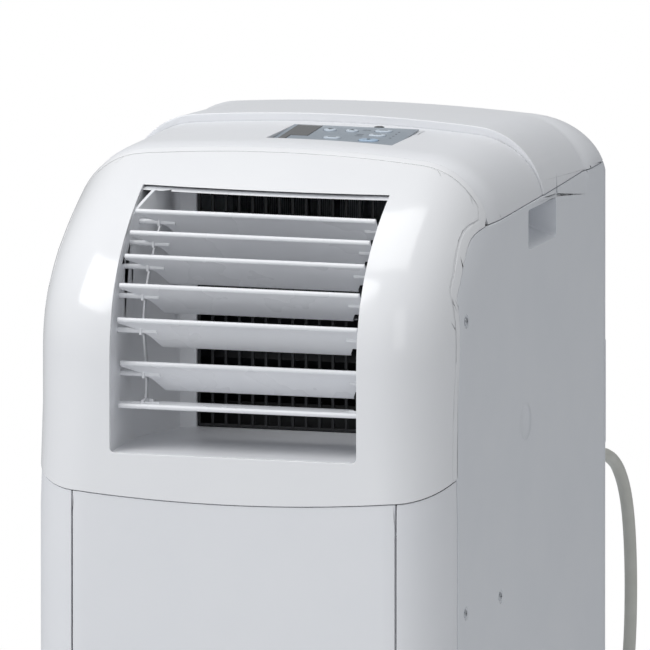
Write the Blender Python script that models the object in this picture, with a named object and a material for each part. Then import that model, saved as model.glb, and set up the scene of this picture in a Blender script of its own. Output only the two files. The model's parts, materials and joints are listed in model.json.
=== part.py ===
"""Portable air conditioner on casters, with a louvred front outlet and a top control panel.

Frame: +Z up, the front faces -Y and +X is to the right of someone facing the front.
The origin lies on the floor, under the centre of the cabinet with its exhaust collar.
Sizes are written in millimetres and made into metres by mesh_object.
"""
import math

import bmesh
import bpy
from mathutils import Matrix, Vector

MM = 0.001

# ---- overall sizes -------------------------------------------------------------------------
WIDTH = 340.0
DEPTH = 450.0                 # front panel to rear cover, without the collar and the cleat
HEIGHT = 740.0
REAR_OVERHANG = 10.0          # how far the collar and the cord cleat stand behind the cover
SHELL_BOTTOM = 44.4

FRONT_Y = -(DEPTH + REAR_OVERHANG) / 2
REAR_Y = FRONT_Y + DEPTH
HALF_W = WIDTH / 2

# ---- walls and fits ------------------------------------------------------------------------
WALL = 2.6
GAP = 0.3                     # what touching pieces keep between them
SEAM = 0.6                    # visible joint between two covers
RUN = 0.3                     # radial clearance of a plain pivot

# ---- casing roundings ----------------------------------------------------------------------
FRONT_RADIUS = 50.0            # upright front corners below the bezel
TOP_RADIUS = 60.0
REAR_RADIUS = 14.0
REAR_TOP_ARC = 60.0
REAR_ARC_HIGH = 53.0
TOP_FALL = 7.0                 # how far the hood falls from its ridge to the rear arc
TOP_CROWN = 5.0
ARC_STEPS = 5
SADDLE_DROP = 6.5
LIP_DEPTH = 9.4
LIP_WIDTH = 3.0

# ---- seams, as distances behind the front plane and heights ---------------------------------
PILLAR_SEAM = 44.0
BEZEL_BOTTOM = HEIGHT - 269.0
BEZEL_SMILE = 6.0
BEZEL_SWEEP_TOP = HEIGHT - 240.0
PANEL_HALF_W = HALF_W - 38.0
PANEL_FOOT = 62.0
SADDLE_FRONT = 135.0
SADDLE_REAR = 274.0
SEAM_FRONT_Z = HEIGHT - 61.0
SEAM_REAR_Z = HEIGHT - 52.0

# ---- air outlet ----------------------------------------------------------------------------
OUTLET_HALF_W = 100.0
OUTLET_LOW = HEIGHT - 232.0
OUTLET_HIGH = HEIGHT - 34.0
DUCT_WALL = 2.5
DUCT_REAR = 124.0
DUCT_RISE = 5.0
DUCT_CEILING_DROP = 4.0
NICHE_START = 62.0
NICHE_END = 115.0
NICHE_INSET = 22.0
GRILLE_LEFT_INSET = 34.0
GRILLE_T = 2.5
GRILLE_BAR = 2.4
GRILLE_PITCH = 10.4

# ---- louvres -------------------------------------------------------------------------------
SLAT_CHORD = 35.0
SLAT_FRONT = 15.0             # chord in front of the pivot
SLAT_T = 2.2
SLAT_LIP_R = 2.0
SLAT_END_GAP = 2.6
SLAT_TAPER = 30.0
PIVOT_R = 2.0
CRANK = 15.0
CRANK_X = -82.0
LINK_PLATE = 2.0
LINK_WIDTH = 5.0
CRANK_PIN_R = 1.4
SLOPE = -45.0
# front edge of each slat: behind the front plane, below the top, and its slope in degrees
SLATS = [
    (60.0, 49.5, SLOPE), (45.0, 64.3, SLOPE), (30.7, 80.8, SLOPE), (16.8, 101.8, SLOPE),
    (11.5, 128.0, SLOPE), (19.0, 163.0, SLOPE), (13.5, 197.0, 0.0),
]
LOWEST_CHORD = 29.0

# ---- control panel, in its own tilted plane --------------------------------------------------
PANEL_X = -28.0
PANEL_W = 102.0
PANEL_D = 75.0
PANEL_SETBACK = 180.0
PANEL_TILT = math.radians(3.0)
PANEL_Z = HEIGHT - 11.5
LABEL_T = 0.8
PAD_T = 5.0
KEY_TRAVEL = 1.0
KEY_STAND = 0.9
# name: across and up the panel, half width and half depth of the key
KEYS = {
    "button_down": (34.5, 57.5, 5.0, 4.0), "button_up": (52.5, 57.5, 5.0, 4.0),
    "button_power": (76.0, 24.0, 8.0, 4.5), "button_timer": (45.0, 28.0, 7.0, 3.6),
    "button_speed": (77.0, 44.0, 7.0, 3.6), "button_mode": (77.0, 61.0, 7.0, 3.6),
}

# ---- running gear ----------------------------------------------------------------------------
CASTER_X = HALF_W - 40.0
CASTER_FRONT = 48.0
CASTER_REAR = 402.0
WHEEL_R = 17.0
WHEEL_HALF_W = 6.5
TRAIL = 10.0
STEM_R = 5.0
PAN_BOTTOM = 40.0
PAN_FLOOR = 4.0
PAN_STEP = 2.0                # how far the middle of the pan stands below its edge
PAN_STEP_HALF = (95.0, 140.0)
PAN_RIM_TOP = 70.0

# ---- inside ----------------------------------------------------------------------------------
DECK_Z = 452.0
DECK_T = 4.0
SHAFT_R = 4.0
BLOWER_R = 56.0
BLOWER_SETBACK = 192.0
BLOWER_Z = 590.0
BLOWER_HALF_L = 92.0
SCROLL_GAP = 7.0
FAN_X = 35.0
FAN_Z = 186.0
FAN_R = 74.0
FAN_SETBACK = 262.0
FAN_L = 60.0
EXHAUST_X = -40.0
EXHAUST_Z = 372.0
EXHAUST_R = 66.0
COMPRESSOR_X = -80.0
COMPRESSOR_SETBACK = 130.0
COMPRESSOR_R = 54.0
TUBE_X = -148.0
TUBE_R = 4.0

# ---- rear ------------------------------------------------------------------------------------
INTAKE_LOW = 486.0
INTAKE_HIGH = HEIGHT - 72.0
INTAKE_HALF_W = 124.0
VENT_LOW = 84.0
VENT_HIGH = 258.0
DRAIN_X = 105.0
DRAIN_Z = 300.0
DRAIN_R = 9.0
CLEAT_X = HALF_W - 6.0
CLEAT_W = 14.0
CLEAT_LOW = 460.0
CLEAT_HIGH = 545.0
CLEAT_FOOT = 13.0

# ---- mains lead ------------------------------------------------------------------------------
CORD_R = 5.0
LEAD_X = 150.0
LEAD_Z = 447.0
RELIEF_L = 32.0
COIL_X = -30.0
COIL_Y = 318.0
COIL_R = 55.0
COIL_Z = 1.9
PLUG_REACH = 49.9             # from the coil's centre to the plug's cord end
PLUG_Z = 12.6
PLUG_L = 34.0
BLADE_L = 18.0
CORD_ROUTE = [
    (150.0, 252.3, 447.0), (150.0, 262.0, 446.8), (150.0, 275.0, 444.8), (150.0, 292.0, 439.0),
    (150.0, 308.0, 430.0), (150.0, 323.0, 415.0), (150.0, 334.0, 395.0), (150.0, 341.0, 368.0),
    (150.0, 344.0, 332.0), (149.0, 344.5, 290.0), (146.0, 343.0, 245.0), (140.0, 339.0, 195.0),
    (131.0, 333.0, 145.0), (119.0, 324.0, 98.0), (105.0, 312.0, 59.0), (90.0, 299.0, 32.0),
    (73.0, 286.0, 15.0), (54.0, 274.5, 7.6), (33.0, 266.5, 5.8), (12.1, 263.0, 5.6),
]


# ================================= general tools ==============================================
def clear_scene():
    for item in list(bpy.data.objects):
        bpy.data.objects.remove(item, do_unlink=True)


def finish_material(name, colour, roughness, metallic=0.0):
    made = bpy.data.materials.get(name)
    if made is None:
        made = bpy.data.materials.new(name)
        made.use_nodes = True
        shader = made.node_tree.nodes["Principled BSDF"]
        shader.inputs["Base Color"].default_value = (*colour, 1.0)
        shader.inputs["Roughness"].default_value = roughness
        shader.inputs["Metallic"].default_value = metallic
    return made


GLOSS_WHITE = ("gloss_white", (0.86, 0.87, 0.88), 0.18)
SATIN_WHITE = ("satin_white", (0.80, 0.81, 0.83), 0.42)
LOUVRE_WHITE = ("louvre_white", (0.84, 0.84, 0.86), 0.35)
BLACK = ("black_plastic", (0.02, 0.02, 0.025), 0.45)
LABEL_GREY = ("label_grey", (0.55, 0.60, 0.64), 0.35)
DISPLAY = ("display_black", (0.01, 0.01, 0.015), 0.08)
COPPER = ("copper_tube", (0.80, 0.42, 0.25), 0.30, 1.0)
FIN_ALUMINIUM = ("fin_aluminium", (0.75, 0.76, 0.78), 0.40, 0.9)
RUBBER = ("dark_rubber", (0.05, 0.05, 0.055), 0.80)
CORD_GREY = ("cord_grey", (0.62, 0.62, 0.58), 0.55)
BOARD_GREEN = ("board_green", (0.04, 0.25, 0.12), 0.50)
PAINT_BLACK = ("black_enamel", (0.03, 0.03, 0.035), 0.35)
MOTOR_GREY = ("motor_grey", (0.45, 0.46, 0.47), 0.45, 0.6)


def mesh_object(name, points, faces, finish=SATIN_WHITE):
    """A closed mesh from points in millimetres, with its faces turned outwards."""
    mesh = bpy.data.meshes.new(name)
    mesh.from_pydata([Vector(point) * MM for point in points], [], faces)
    work = bmesh.new()
    work.from_mesh(mesh)
    bmesh.ops.remove_doubles(work, verts=work.verts, dist=1e-7)
    bmesh.ops.recalc_face_normals(work, faces=work.faces)
    work.to_mesh(mesh)
    work.free()
    made = bpy.data.objects.new(name, mesh)
    bpy.context.collection.objects.link(made)
    made.data.materials.append(finish_material(*finish))
    return made


def boolean(target, tool, operation):
    """Cuts, joins or intersects target with tool at once, and removes the tool."""
    modifier = target.modifiers.new("boolean", "BOOLEAN")
    modifier.operation = operation
    modifier.solver = "EXACT"
    modifier.object = tool
    bpy.context.view_layer.update()
    graph = bpy.context.evaluated_depsgraph_get()
    result = bpy.data.meshes.new_from_object(target.evaluated_get(graph))
    target.modifiers.clear()
    old = target.data
    target.data = result
    bpy.data.meshes.remove(old)
    bpy.data.objects.remove(tool, do_unlink=True)
    return target


def cut(target, *tools):
    for tool in tools:
        boolean(target, tool, "DIFFERENCE")
    return target


def join(target, *tools):
    for tool in tools:
        boolean(target, tool, "UNION")
    return target


def keep(target, *tools):
    for tool in tools:
        boolean(target, tool, "INTERSECT")
    return target


def box(name, low, high, finish=SATIN_WHITE):
    (x0, y0, z0), (x1, y1, z1) = low, high
    points = [(x, y, z) for x in (x0, x1) for y in (y0, y1) for z in (z0, z1)]
    faces = [(0, 1, 3, 2), (4, 6, 7, 5), (0, 4, 5, 1), (2, 3, 7, 6), (0, 2, 6, 4), (1, 5, 7, 3)]
    return mesh_object(name, points, faces, finish)


def prism(name, axis, outline, low, high, finish=SATIN_WHITE):
    """An outline in the plane across axis, extruded from low to high along it."""
    def place(along, first, second):
        return {"X": (along, first, second), "Y": (first, along, second),
                "Z": (first, second, along)}[axis]
    count = len(outline)
    points = [place(low, *p) for p in outline] + [place(high, *p) for p in outline]
    sides = [(i, (i + 1) % count, count + (i + 1) % count, count + i) for i in range(count)]
    faces = [tuple(range(count)), tuple(range(2 * count - 1, count - 1, -1))] + sides
    return mesh_object(name, points, faces, finish)


def turned(name, axis, centre, profile, steps=24, finish=SATIN_WHITE):
    """A profile of (along, radius) pairs turned about an axis through centre.

    The profile starts and ends on the axis, or closes on itself where it never meets it."""
    open_profile = profile[0][1] == 0.0
    points, faces, rows = [], [], []

    def place(along, radius, angle):
        first, second = radius * math.cos(angle), radius * math.sin(angle)
        local = {"X": (along, first, second), "Y": (first, along, second),
                 "Z": (first, second, along)}[axis]
        return tuple(a + b for a, b in zip(centre, local))

    for along, radius in profile:
        if radius == 0.0:
            rows.append([len(points)])
            points.append(place(along, 0.0, 0.0))
            continue
        rows.append([len(points) + i for i in range(steps)])
        points.extend(place(along, radius, 2 * math.pi * (i + 0.5) / steps + math.pi / steps)
                      for i in range(steps))
    pairs = list(zip(rows, rows[1:]))
    if not open_profile:
        pairs.append((rows[-1], rows[0]))
    for a, b in pairs:
        for i in range(steps):
            j = (i + 1) % steps
            corners = [a[i % len(a)], a[j % len(a)], b[j % len(b)], b[i % len(b)]]
            face = tuple(dict.fromkeys(corners))
            if len(face) > 2:
                faces.append(face)
    return mesh_object(name, points, faces, finish)


def rod(name, axis, centre, radius, low, high, steps=16, finish=SATIN_WHITE):
    """A plain cylinder along axis; centre gives the two other coordinates."""
    profile = [(low, 0.0), (low, radius), (high, radius), (high, 0.0)]
    at = {"X": (0.0, *centre), "Y": (centre[0], 0.0, centre[1]), "Z": (*centre, 0.0)}[axis]
    return turned(name, axis, at, profile, steps, finish)


def rename(item, name, finish):
    item.name = name
    item.data.name = name
    item.data.materials.clear()
    item.data.materials.append(finish_material(*finish))
    for face in item.data.polygons:
        face.material_index = 0
    return item


def smooth(item, degrees=35.0):
    item.data.shade_smooth()
    item.data.set_sharp_from_angle(angle=math.radians(degrees))
    return item


def move_origin(item, point):
    """Puts the object's origin at point, in millimetres, and leaves its shape in place."""
    offset = Vector(point) * MM
    item.data.transform(Matrix.Translation(-offset))
    item.location = offset
    return item


def behind(setback):
    """The Y of a point that lies this far behind the front plane."""
    return FRONT_Y + setback


# ================================= casing surface =============================================
def casing_path():
    """Side outline: (setback, height, corner radius, crown) from the front foot to the rear."""
    low = 30.0
    rows = [(0.0, z, FRONT_RADIUS, 0.0) for z in (low, 120.0, 300.0, 420.0, BEZEL_BOTTOM - 10)]
    rows.append((0.0, HEIGHT - 200, TOP_RADIUS, 0.0))
    p0, p1 = (0.0, HEIGHT - 160.0), (0.0, HEIGHT - 80.0)
    p2, p3 = (60.0, HEIGHT - 40.0), (140.0, HEIGHT - 5.0)
    steps = 10
    for i in range(steps + 1):
        t = i / steps
        ease = t * t * (3 - 2 * t)
        weights = ((1 - t) ** 3, 3 * (1 - t) ** 2 * t, 3 * (1 - t) * t * t, t ** 3)
        y = sum(w * p[0] for w, p in zip(weights, (p0, p1, p2, p3)))
        z = sum(w * p[1] for w, p in zip(weights, (p0, p1, p2, p3)))
        rows.append((y, z, TOP_RADIUS, TOP_CROWN * ease))
    rows += [(154.0, HEIGHT - 1.2, TOP_RADIUS, TOP_CROWN), (170.0, HEIGHT, TOP_RADIUS, TOP_CROWN)]
    rows += [(y, HEIGHT, TOP_RADIUS, TOP_CROWN) for y in (230.0, SADDLE_REAR)]
    steps = 6
    for i in range(steps + 1):
        turn = math.pi / 2 * i / steps
        share = i / steps
        y = DEPTH - REAR_TOP_ARC + REAR_TOP_ARC * math.sin(turn)
        z = HEIGHT - TOP_FALL - REAR_ARC_HIGH + REAR_ARC_HIGH * math.cos(turn)
        radius = TOP_RADIUS + (REAR_RADIUS - TOP_RADIUS) * share
        rows.append((y, z, radius, TOP_CROWN * (1 - share)))
    rows += [(DEPTH, z, REAR_RADIUS, 0.0) for z in (500.0, 300.0, low)]
    return rows


def section(radius, crown, inset, side_inset):
    """Points (x, depth below the outline) across the casing, from left to right."""
    start = 2 * crown / (HALF_W - radius)
    corner = HALF_W - radius
    flat = corner + radius * math.sin(start)
    base = crown - radius * (1 - math.cos(start))
    half = []
    for i in range(3):
        x = flat * i / 3
        half.append((x, inset + crown * (x / flat) ** 2))
    for i in range(ARC_STEPS + 1):
        turn = start + (math.pi / 2 - start) * i / ARC_STEPS
        x = corner + (radius - side_inset) * math.sin(turn)
        half.append((x, base + radius - (radius - inset) * math.cos(turn)))
    return [(-x, d) for x, d in reversed(half[1:])] + half


def casing(name, inset=0.0, side_inset=None):
    """The closed outer form of the cabinet, shrunk by inset."""
    side_inset = inset if side_inset is None else side_inset
    rows = casing_path()
    points, count = [], 0
    for i, (y, z, radius, crown) in enumerate(rows):
        before, after = rows[max(i - 1, 0)], rows[min(i + 1, len(rows) - 1)]
        along = Vector((after[0] - before[0], after[1] - before[1])).normalized()
        normal = Vector((-along.y, along.x))
        line = section(radius, crown, inset, side_inset)
        count = len(line)
        for x, depth in line:
            points.append((x, behind(y) - normal.x * depth, z - normal.y * depth))
    faces = []
    for i in range(len(rows)):
        j = (i + 1) % len(rows)
        for k in range(count - 1):
            faces.append((i * count + k, j * count + k, j * count + k + 1, i * count + k + 1))
    faces.append(tuple(i * count for i in range(len(rows))))
    faces.append(tuple(i * count + count - 1 for i in reversed(range(len(rows)))))
    return mesh_object(name, points, faces)


def side_region(outline, low=-HALF_W - 20, high=HALF_W + 20):
    """A cutter from an outline of (setback, height) points."""
    return prism("region", "X", [(behind(y), z) for y, z in outline], low, high)


def bezel_edge(shift=0.0):
    """Rear edge of the front bezel seen from the side, moved back and down by shift."""
    edge = [(44.0, 240.0), (48.0, 185.0), (54.0, 115.0), (57.5, 104.0), (64.0, 97.0),
            (78.0, 82.0), (95.0, 69.0), (110.0, 63.5), (126.0, 61.0)]
    return [(y + shift, HEIGHT - drop - shift) for y, drop in edge]


def smile_line(shift=0.0):
    """Lower edge of the bezel seen from the front, as (x, z) from left to right."""
    half = []
    for i in range(5):
        x = (HALF_W - 44.0) * i / 4
        half.append((x, BEZEL_BOTTOM + BEZEL_SMILE * (x / (HALF_W - 44.0)) ** 2))
    rise = BEZEL_SWEEP_TOP - half[-1][1]
    for i in range(1, 6):
        turn = math.pi / 2 * i / 5
        half.append((HALF_W - 44.0 + 45.0 * math.sin(turn),
                     BEZEL_SWEEP_TOP - rise * math.cos(turn)))
    line = [(-x, z) for x, z in reversed(half[1:])] + half
    return [(x, z + shift) for x, z in line]


def seam_z(setback):
    """Height of the joint between a side panel and the covers above it."""
    share = (setback - 126.0) / (DEPTH - 126.0)
    return SEAM_FRONT_Z + (SEAM_REAR_Z - SEAM_FRONT_Z) * share


# ================================= covers =====================================================
def front_bezel():
    edge = bezel_edge()
    top = HEIGHT + 20
    outline = [(-20, BEZEL_BOTTOM - 10), (44.0, BEZEL_BOTTOM - 10), *edge,
               (SADDLE_FRONT, HEIGHT - 52), (SADDLE_FRONT, top), (-20, top)]
    shell = keep(casing("front_bezel"), side_region(outline))
    far = HALF_W + 30
    above = [(-far, top), (-far, BEZEL_SWEEP_TOP), *smile_line(), (far, BEZEL_SWEEP_TOP),
             (far, top)]
    keep(shell, prism("above", "Y", above, FRONT_Y - 20, FRONT_Y + 160))
    cut(shell, casing("inner", WALL))
    lip = keep(casing("lip"), side_region([(SADDLE_FRONT - LIP_WIDTH, HEIGHT - 52),
                                           (SADDLE_FRONT, HEIGHT - 52), (SADDLE_FRONT, top),
                                           (SADDLE_FRONT - LIP_WIDTH, top)]))
    join(shell, cut(lip, casing("inner", LIP_DEPTH)))
    cut(shell, outlet_opening("outlet", 0.0, -20.0, 160.0))
    return smooth(rename(shell, "front_bezel", GLOSS_WHITE))


def outlet_opening(name, grow, start, end):
    """The straight-through form of the air outlet, with small round lower corners."""
    half, low, high, radius = OUTLET_HALF_W + grow, OUTLET_LOW - grow, OUTLET_HIGH + grow, 4.0
    outline = [(-half, high), (-half, low + radius)]
    for i in range(1, 4):
        turn = math.pi / 2 * i / 4
        outline.append((-half + radius - radius * math.cos(turn),
                        low + radius - radius * math.sin(turn)))
    outline.append((-half + radius, low))
    outline += [(-x, z) for x, z in reversed(outline)]
    return prism(name, "Y", outline, behind(start), behind(end))


def front_region(finish_low, line_shift):
    """Everything in front of the side seam, from finish_low up to the bezel's lower edge."""
    far = HALF_W + 30
    line = smile_line(line_shift)
    below = [(-far, finish_low), (far, finish_low), (far, line[-1][1]), *reversed(line),
             (-far, line[0][1])]
    return prism("below", "Y", below, FRONT_Y - 20, behind(PILLAR_SEAM))


def front_frame():
    shell = keep(casing("front_frame", 0.8), front_region(SHELL_BOTTOM, -SEAM))
    cut(shell, casing("inner", WALL + 0.8))
    cut(shell, box("doorway", (-PANEL_HALF_W, FRONT_Y - 20, PANEL_FOOT),
                   (PANEL_HALF_W, behind(30), HEIGHT)))
    return smooth(rename(shell, "front_frame", SATIN_WHITE))


def front_panel():
    half = PANEL_HALF_W - 1.0
    shell = keep(casing("front_panel", 0.8), front_region(PANEL_FOOT + SEAM, -SEAM))
    cut(shell, casing("inner", WALL + 0.8))
    keep(shell, box("between", (-half, FRONT_Y - 20, 0), (half, behind(30), HEIGHT)))
    flange = 9.0
    for side in (-1, 1):
        inner, outer = side * (half - 2.4), side * half
        rib = box("rib", (min(inner, outer), behind(3.4), PAN_RIM_TOP + 1),
                  (max(inner, outer), behind(flange), DECK_Z - 1))
        join(shell, rib)
    return smooth(rename(shell, "front_panel", SATIN_WHITE))


def grip_pocket(grow, depth_grow=0.0):
    """The block taken by a hand grip on the right side, flared towards its mouth."""
    y0, y1 = behind(232.0) - grow, behind(307.0) + grow
    z0, z1 = HEIGHT - 95.0 - grow, HEIGHT - 63.0 + grow
    deep = HALF_W - 26.0 - depth_grow
    return prism("pocket", "Y", [(deep, z1), (deep, z0 + 9), (HALF_W + 12, z0 - 3),
                                 (HALF_W + 12, z1)], y0, y1)


def side_panel(side):
    name = "right_side_panel" if side > 0 else "left_side_panel"
    front = PILLAR_SEAM + SEAM
    edge = bezel_edge(SEAM)
    rear = DEPTH - REAR_RADIUS
    outline = [(front, SHELL_BOTTOM), *edge, (126.0 + SEAM, seam_z(126.0) - SEAM),
               (rear, seam_z(rear) - SEAM), (rear, SHELL_BOTTOM)]
    outline = list(dict.fromkeys(outline))
    low, high = (HALF_W - 30.0, HALF_W + 20.0)
    shell = keep(casing(name, 0.3), side_region(outline, low, high))
    cut(shell, casing("inner", WALL + 0.3))
    wall = 2.2
    cup = keep(grip_pocket(wall, wall), box("inside", (0, -400, 0), (HALF_W - 0.5, 400, 900)))
    join(shell, cup)
    cut(shell, grip_pocket(0.0))
    # shallow round boss seat and screw seats
    cut(shell, rod("dimple", "X", (behind(225.0), HEIGHT - 228.0), 15.0, HALF_W - 1.6,
                   HALF_W + 5, 20))
    for setback, height in ((67.0, 613.0), (65.0, 384.0), (158.0, 384.0)):
        cut(shell, rod("screw_seat", "X", (behind(setback), height), 5.5, HALF_W - 1.5,
                       HALF_W + 5, 14))
    if side < 0:
        shell.data.transform(Matrix.Scale(-1, 4, (1, 0, 0)))
        shell.data.flip_normals()
    return smooth(rename(shell, name, SATIN_WHITE))


def panel_matrix():
    """From the control panel's own plane, in millimetres, to the cabinet."""
    place = Matrix.Translation((PANEL_X, behind(PANEL_SETBACK), PANEL_Z))
    return place @ Matrix.Rotation(PANEL_TILT, 4, "X")


def tilt(item):
    """Moves a piece drawn on the flat panel into its place on the cabinet."""
    matrix = panel_matrix()
    matrix.translation *= MM
    item.data.transform(matrix)
    return item


def key_outline(across, up, half_w, half_d, grow=0.0):
    """Long round key: two half circles joined by straight sides."""
    radius = half_d + grow
    reach = half_w - half_d
    points = []
    for centre, start in ((across + reach, -90), (across - reach, 90)):
        for i in range(6):
            turn = math.radians(start + 36 * i)
            points.append((centre + radius * math.cos(turn), up + radius * math.sin(turn)))
    return points


def top_cover():
    outline = [(SADDLE_FRONT + SEAM, HEIGHT - 80), (SADDLE_FRONT + SEAM, HEIGHT + 20),
               (SADDLE_REAR - SEAM, HEIGHT + 20), (SADDLE_REAR - SEAM, HEIGHT - 80)]
    shell = keep(casing("top_cover", SADDLE_DROP, 1.0), side_region(outline))
    above = [(0.0, seam_z(0.0)), (DEPTH, seam_z(DEPTH)), (DEPTH, HEIGHT + 20),
             (0.0, HEIGHT + 20)]
    keep(shell, side_region(above))
    cut(shell, casing("inner", SADDLE_DROP + WALL, 1.0 + WALL))
    pad = tilt(box("pad", (-3, -3, -PAD_T), (PANEL_W + 3, PANEL_D + 3, -0.4)))
    join(shell, pad)
    pocket = tilt(box("pocket", (0, 0, 0), (PANEL_W, PANEL_D, 20)))
    cut(shell, pocket)
    for outline in KEYS.values():
        cut(shell, tilt(prism("hole", "Z", key_outline(*outline, RUN), -12, 6)))
    cut(shell, rod("lens_hole", "Z", (39.0, behind(262.0)), 4.0 + GAP, HEIGHT - 20,
                   HEIGHT + 5))
    return smooth(rename(shell, "top_cover", SATIN_WHITE))


def rear_hood():
    outline = [(SADDLE_REAR, seam_z(SADDLE_REAR)), (SADDLE_REAR, HEIGHT + 20),
               (DEPTH + 20, HEIGHT + 20), (DEPTH + 20, seam_z(DEPTH + 20))]
    shell = keep(casing("rear_hood"), side_region(outline))
    cut(shell, casing("inner", WALL))
    lip = [(SADDLE_REAR, seam_z(SADDLE_REAR)), (SADDLE_REAR, HEIGHT + 20),
           (SADDLE_REAR + LIP_WIDTH, HEIGHT + 20),
           (SADDLE_REAR + LIP_WIDTH, seam_z(SADDLE_REAR + LIP_WIDTH))]
    band = keep(casing("lip"), side_region(lip))
    join(shell, cut(band, casing("inner", LIP_DEPTH, WALL)))
    return smooth(rename(shell, "rear_hood", SATIN_WHITE))


def rear_cover():
    start = DEPTH - REAR_RADIUS + SEAM
    outline = [(start, SHELL_BOTTOM), (start, seam_z(start) - SEAM),
               (DEPTH + 20, seam_z(DEPTH + 20) - SEAM), (DEPTH + 20, SHELL_BOTTOM)]
    shell = keep(casing("rear_cover"), side_region(outline))
    cut(shell, casing("inner", WALL))
    cut(shell, box("intake", (-INTAKE_HALF_W, REAR_Y - 30, INTAKE_LOW),
                   (INTAKE_HALF_W, REAR_Y + 10, INTAKE_HIGH)))
    cut(shell, box("vent", (-INTAKE_HALF_W, REAR_Y - 30, VENT_LOW),
                   (INTAKE_HALF_W, REAR_Y + 10, VENT_HIGH)))
    cut(shell, rod("exhaust", "Y", (EXHAUST_X, EXHAUST_Z), EXHAUST_R + GAP, REAR_Y - 30,
                   REAR_Y + 10, 32))
    cut(shell, rod("drain", "Y", (DRAIN_X, DRAIN_Z), DRAIN_R - 2 + GAP, REAR_Y - 30,
                   REAR_Y + 10, 16))
    cut(shell, rod("lead", "Y", (LEAD_X, LEAD_Z), 7.0 + GAP, REAR_Y - 30, REAR_Y + 10, 16))
    return smooth(rename(shell, "rear_cover", SATIN_WHITE))


def slatted_grille(name, low_z, high_z, low_y, high_y, bars, finish):
    """A frame with level bars that fills an opening of the rear cover."""
    half = INTAKE_HALF_W - 0.5
    plate = box(name, (-half, low_y, low_z + 0.5), (half, high_y, high_z - 0.5), finish)
    inner_low, inner_high = low_z + 9.0, high_z - 9.0
    pitch = (inner_high - inner_low) / bars
    for i in range(bars):
        z = inner_low + pitch * i
        for x0, x1 in ((-half + 8, -3), (3, half - 8)):
            cut(plate, box("slot", (x0, low_y - 5, z + 1.6), (x1, high_y + 5, z + pitch - 1.6)))
    return plate


# ================================= base and casters ===========================================
def base_pan():
    low = keep(casing("base_pan", 1.2), box("floor", (-400, -400, PAN_BOTTOM),
                                            (400, 400, PAN_BOTTOM + PAN_FLOOR)))
    rim = keep(casing("rim", WALL + 0.8 + GAP), box("rim_band", (-400, -400, PAN_BOTTOM + 2),
                                                    (400, 400, PAN_RIM_TOP)))
    hollow = keep(casing("hollow", WALL + 4.0), box("hollow_band", (-400, -400,
                                                    PAN_BOTTOM + PAN_FLOOR), (400, 400, 90)))
    pan = join(low, cut(rim, hollow))
    half_x, half_y = PAN_STEP_HALF
    join(pan, box("step", (-half_x, -half_y, PAN_BOTTOM - PAN_STEP),
                  (half_x, half_y, PAN_BOTTOM + 1)))
    for x, y in caster_places():
        join(pan, rod("boss", "Z", (x, y), 11.0, PAN_BOTTOM + 1, PAN_BOTTOM + 20, 16))
        cut(pan, rod("socket", "Z", (x, y), STEM_R + RUN, PAN_BOTTOM - 5, PAN_BOTTOM + 17, 16))
    return smooth(rename(pan, "base_pan", SATIN_WHITE))


def caster_places():
    return [(side * CASTER_X, behind(setback))
            for setback in (CASTER_FRONT, CASTER_REAR) for side in (-1, 1)]


CASTER_NAMES = ("front_left", "front_right", "rear_left", "rear_right")


def caster(tag, x, y):
    """Swivel fork with its stem and axle pin, and the wheel that turns on the pin."""
    leg_in, leg_t = WHEEL_HALF_W + 0.5, 2.2
    plate_top = PAN_BOTTOM - GAP
    fork = rod("fork", "Z", (x, y), 14.0, plate_top - 3.2, plate_top, 16)
    join(fork, rod("stem", "Z", (x, y), STEM_R, plate_top - 1, PAN_BOTTOM + 16.5, 10))
    for side in (-1, 1):
        inner, outer = x + side * leg_in, x + side * (leg_in + leg_t)
        leg = [(y - 9, plate_top - 1), (y + TRAIL - 5, WHEEL_R - 4), (y + TRAIL, WHEEL_R - 5.5),
               (y + TRAIL + 5, WHEEL_R - 3), (y + TRAIL + 5, WHEEL_R + 4), (y + 9, plate_top - 1)]
        join(fork, prism("leg", "X", leg, min(inner, outer), max(inner, outer)))
    join(fork, rod("axle", "X", (y + TRAIL, WHEEL_R), 2.0, x - leg_in - 1, x + leg_in + 1, 8))
    move_origin(smooth(rename(fork, f"caster_fork_{tag}", BLACK)), (x, y, plate_top))
    w = WHEEL_HALF_W
    profile = [(-w, 5.0), (-w + 1.2, 12.0), (-w + 0.6, WHEEL_R - 2.0), (-w + 2.2, WHEEL_R),
               (w - 2.2, WHEEL_R), (w - 0.6, WHEEL_R - 2.0), (w - 1.2, 12.0), (w, 5.0),
               (w, 2.0 + RUN), (-w, 2.0 + RUN)]
    wheel = turned(f"caster_wheel_{tag}", "X", (x, y + TRAIL, WHEEL_R), profile, 16, RUBBER)
    move_origin(smooth(wheel), (x, y + TRAIL, WHEEL_R))


# ================================= air outlet =================================================
def niche_line(offset):
    """Left wall of the duct, (x, setback), with the niche that narrows it to the grille."""
    left = -OUTLET_HALF_W
    slant = offset * 0.45
    return [(left + offset, -20.0), (left + offset, NICHE_START - slant),
            (left + NICHE_INSET + offset, NICHE_END - slant),
            (left + GRILLE_LEFT_INSET + offset, NICHE_END + 4 - offset)]


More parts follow.
